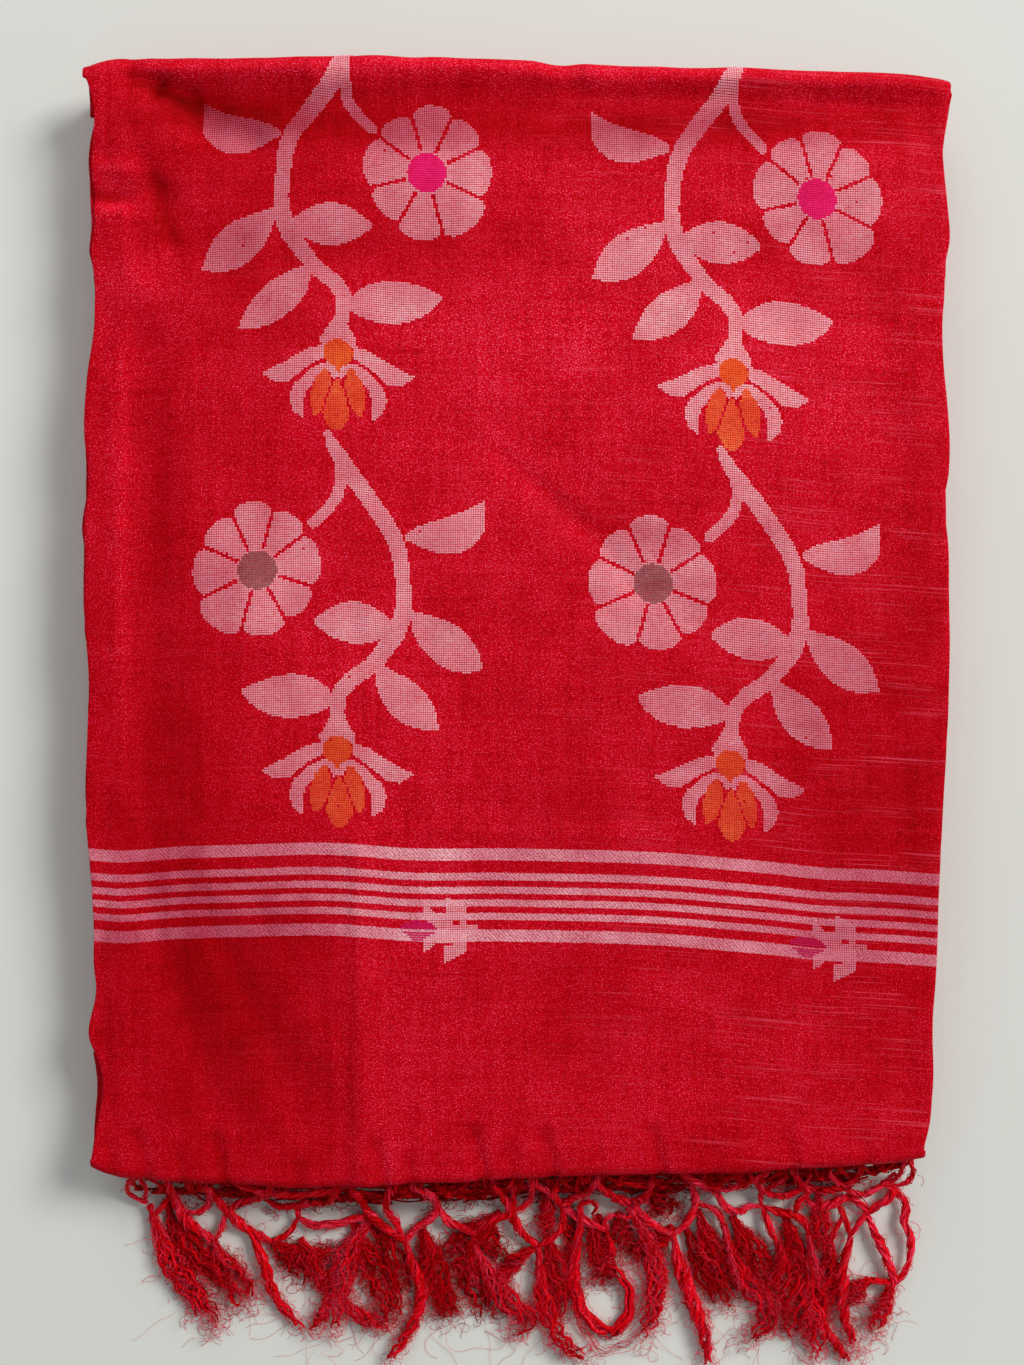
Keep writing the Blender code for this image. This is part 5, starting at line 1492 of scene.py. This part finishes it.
# The fringe's reds: dark for strands in painted shade and dark streaks, the yarn's own red, and painted
# glints.
FIBRE_DARK, FIBRE_RED, FIBRE_PAINTED_GLINT = (0.20, 0.0, 0.0004), (0.76, 0.0003, 0.0055), (1.0, 0.055, 0.130)
STRIPES = (  # start and end down the warp, in millimetres below the first one's upper edge
    (0, 4.1), (8.2, 10.7), (12.9, 15.3), (17.3, 19.7), (21.9, 24.2), (27.5, 31.6),
)
STRIPE_RANGE = (-4.0, 36.0)


def ground_threads(n, place):
    """The ground weave's colour and height, with painted glints as bright pink specks."""
    weft = n.noise(place, (0.34, 2.6), 2.0, 0.7)
    warp = n.noise(place, (2.4, 0.36), 2.0, 0.7)
    grain = n.noise(place, 1.6, 2.0, 0.8)
    glint_noise = n.noise(place, (1.9, 2.2), 1.0, 0.6)
    cloudy = n.noise(place, 0.035, 3.0, 0.6)
    upright = n.noise(place, (0.42, 0.022), 3.0, 0.6)
    level_lines = n.noise(place, (0.022, 0.46), 3.0, 0.6)
    threads = n.total((grain, 0.46), (weft, 0.27), (warp, 0.27))
    patches = n.total((cloudy, 0.14), (upright, 0.12), (level_lines, 0.12))
    level = n.math("SUBTRACT", n.math("ADD", threads, patches), 0.19)
    colour = n.mix(n.ramp(level, ((0.39, 0), (0.50, 1))), RED_DARK, RED)
    # Painted glints: bright pink specks, more of them where the weave is lighter.
    painted_glint_share = n.total((glint_noise, 0.55), (level, 0.45))
    return n.mix(n.ramp(painted_glint_share, ((0.55, 0), (0.62, 1.0))), colour, RED_PAINTED_GLINT), level


def stripe_share(n, place):
    """1 in the pale stripes and 0 outside them, with a ragged edge one thread wide."""
    low, high = STRIPE_RANGE
    v = n.total((n.split(place)[1], 1.0), (n.noise(place, (0.7, 0.2), 2.0, 0.7), 0.7))
    share = n.math("DIVIDE", n.math("SUBTRACT", v, low + 0.35), high - low)
    stops = [(0.0, 0.0)]
    for start, end in STRIPES:
        stops += [((start - low) / (high - low), 1.0), ((end - low) / (high - low), 0.0)]
    return n.ramp(share, stops, constant=True)


def stripe_colour(n, place):
    """Pale yarn over red: a faint twill under fine specks."""
    inputs = {
        "Vector": n.times(place, (-1, 1, 1)), "Scale": 0.46,
        "Distortion": 3.0, "Detail": 2.0, "Detail Scale": 2.0,
    }
    twill = n.node("ShaderNodeTexWave", inputs, bands_direction="DIAGONAL", wave_profile="SIN")
    speck = n.noise(place, (1.3, 1.7), 2.0, 0.8)
    weave = n.total((twill.outputs["Fac"], 0.15), (speck, 0.85), (n.noise(place, 0.11, 2.0, 0.6), 0.2))
    return n.mix(n.ramp(weave, ((0.46, 0), (0.74, 1))), STRIPE_DARK, STRIPE_PALE)


def cloth_material(name, striped=True):
    n = Nodes(name)
    place = n.woven_place()
    colour, level = ground_threads(n, place)
    # Painted light and shade from the mesh, the red deepening where it is painted darker.
    colour = n.with_painted_light(colour, 4.5, 3.2)
    slub = n.ramp(n.noise(place, (0.018, 1.7), 2.0, 0.6), ((0.57, 0), (0.67, 0.7)))
    broken = n.ramp(n.noise(place, (0.030, 0.09), 3.0, 0.6), ((0.46, 0.0), (0.60, 1.0)))
    right = n.ramp(n.math("DIVIDE", n.split(place)[0], 150.0), ((0.0, 0.10), (0.35, 0.50), (0.7, 0.9)))
    slubs = n.math("MULTIPLY", n.math("MULTIPLY", slub, broken), right)
    colour = n.mix(slubs, colour, SLUB)
    if striped:
        # The stripes take the painted light and shade too.
        colour = n.mix(stripe_share(n, place), colour, n.with_painted_light(stripe_colour(n, place), 3.4, 2.5))
    height = n.total((level, 0.7), (n.noise(place, 2.1, 2.0, 0.6), 0.3))
    crumple = n.noise(place, (0.26, 0.05), 4.0, 0.6)
    normal = n.bump(height, 1.0, 0.00035, n.bump(crumple, 0.5, 0.0009))
    rough = n.ramp(level, ((0.3, 0.80), (0.65, 0.50)))
    return n.surface(colour, rough, normal, sheen=0.12, sheen_tint=(1.0, 0.005, 0.03), specular=0.02)


def thread_material(name, dark, mid, light, sheen=0.3):
    """The inlaid thread: a fine streaky yarn whose colour wanders."""
    n = Nodes(name)
    place = n.woven_place()
    streak, cell = n.noise(place, (0.35, 3.4), 3.0, 0.6), n.noise(place, (0.8, 0.8), 2.0, 0.7)
    level = n.total((streak, 0.5), (cell, 0.5), (n.noise(place, 0.09, 3.0, 0.6), 0.5))
    colour = n.mix(n.ramp(level, ((0.51, 0), (0.71, 1))), dark, mid)
    colour = n.mix(n.ramp(level, ((0.75, 0), (0.95, 1))), colour, light)
    normal = n.bump(n.noise(place, (0.6, 5.0), 2.0, 0.6), 0.7, 0.0001)
    # Painted light and shade from the mesh on the inlaid thread.
    return n.surface(n.with_painted_light(colour, 2.6, 2.0), 0.6, normal, sheen, sheen_tint=(1, 0.5, 0.55), specular=0.12)


def fibre_material(name):
    """The fringe's yarn: a red that differs from one fibre to the next and along each; each strand's shade
    sets how dark it is painted, with painted glints on the lightest streaks.
    """
    n = Nodes(name)
    place = n.woven_place()
    shade = n.math("DIVIDE", n.split(place)[1], 1000.0)
    floss, fine = n.noise(place, (0.22, 2.6), 3.0, 0.7), n.noise(place, (1.1, 2.2), 2.0, 0.7)
    streak = n.total((floss, 1.1), (fine, 0.9))
    level = n.total((shade, 0.52), (n.math("SUBTRACT", streak, 0.74), 1.1))
    colour = n.mix(n.ramp(level, ((0.12, 0), (0.50, 1))), FIBRE_DARK, FIBRE_RED)
    # Painted glints where the level is highest.
    colour = n.mix(n.ramp(level, ((0.60, 0), (0.82, 1))), colour, FIBRE_PAINTED_GLINT)
    normal = n.bump(floss, 0.8, 0.0002)
    return n.surface(colour, 0.42, normal, sheen=0.03, sheen_tint=(1, 0.005, 0.02), specular=0.035)


# Camera, light and floor

FLOOR_HALF = 3000


def add_camera():
    data = bpy.data.cameras.new("camera")
    data.sensor_width = 36
    data.lens = 45
    camera = bpy.data.objects.new("camera", data)
    camera.location = [(place + shift) * MM for place, shift in zip(CAMERA_PLACE, (SHIFT_X, SHIFT_Y, 0))]
    bpy.context.scene.collection.objects.link(camera)
    bpy.context.scene.camera = camera


def add_area(name, place, aim, size, power, colour):
    data = bpy.data.lights.new(name, "AREA")
    data.shape = "SQUARE"
    data.size = size
    data.energy = power
    data.color = colour
    light = bpy.data.objects.new(name, data)
    light.location = place
    direction = np.array(aim, float) - np.array(place, float)
    horizontal = math.hypot(direction[0], direction[1])
    turn = math.atan2(direction[1], direction[0]) - math.pi / 2
    light.rotation_euler = (math.atan2(horizontal, -direction[2]), 0, turn)
    bpy.context.scene.collection.objects.link(light)


def add_stage():
    scene = bpy.context.scene
    scene.view_settings.view_transform = "Standard"
    scene.world = bpy.data.worlds.new("studio")
    scene.world.use_nodes = True
    background = scene.world.node_tree.nodes["Background"]
    background.inputs[0].default_value = (0.93, 0.97, 1.0, 1)
    background.inputs[1].default_value = 0.33
    add_area("window", (2.7, 1.9, 2.9), (0, 0, 0), 1.7, 150, (1.0, 0.99, 0.965))
    add_area("sky", (-0.3, 1.6, 0.9), (0, 0.1, 0), 1.0, 7, (0.97, 0.99, 1.0))
    n = Nodes("pale floor")
    mottle = n.noise(n.node("ShaderNodeTexCoord").outputs["Object"], 5.0, 4.0, 0.6)
    colour = n.mix(mottle, (0.72, 0.72, 0.675), (0.76, 0.77, 0.725))
    n.surface(colour, 0.8, None, specular=0.2)
    corners = [(x * FLOOR_HALF, y * FLOOR_HALF, 0) for x, y in ((-1, -1), (1, -1), (1, 1), (-1, 1))]
    floor = make_mesh("floor", corners, [(0, 1, 2, 3)], n.material)


# All of it


def main():
    add_camera()
    add_stage()
    red = cloth_material("red handloom cloth")
    plain = cloth_material("red handloom cloth, plain", striped=False)
    top = build_top(red)
    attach(top, "root")
    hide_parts("top_stretch")
    threads = [
        thread_material("pale pink inlay", (0.80, 0.13, 0.20), (0.95, 0.33, 0.40), (1.0, 0.52, 0.60)),
        thread_material("orange inlay", (0.74, 0.030, 0.005), (0.90, 0.078, 0.012), (0.98, 0.15, 0.03)),
        thread_material("dark orange inlay", (0.68, 0.014, 0.008), (0.90, 0.070, 0.019), (0.98, 0.18, 0.06)),
        thread_material(
            "magenta inlay", (0.80, 0.001, 0.10), (0.95, 0.004, 0.15), (1.0, 0.02, 0.24), sheen=0.1,
        ),
        thread_material("grey inlay", (0.21, 0.042, 0.056), (0.33, 0.10, 0.115), (0.43, 0.18, 0.19)),
        thread_material(
            "wine inlay", (0.52, 0.001, 0.06), (0.66, 0.003, 0.10), (0.76, 0.02, 0.17), sheen=0.1,
        ),
    ]
    for each in build_inlay(threads):
        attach(each, "root")
    peeking, tucked, layers = build_peeking(plain), build_tucked(plain), build_stack(plain)
    for each, node in ((peeking, "second_stretch"), (tucked, "tucked_end"), (layers, "folded_stack")):
        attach(each, "root")
        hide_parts(node)
    for each in build_fringe(fibre_material("red fringe yarn")):
        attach(each, "root")
        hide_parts("fringe")


main()
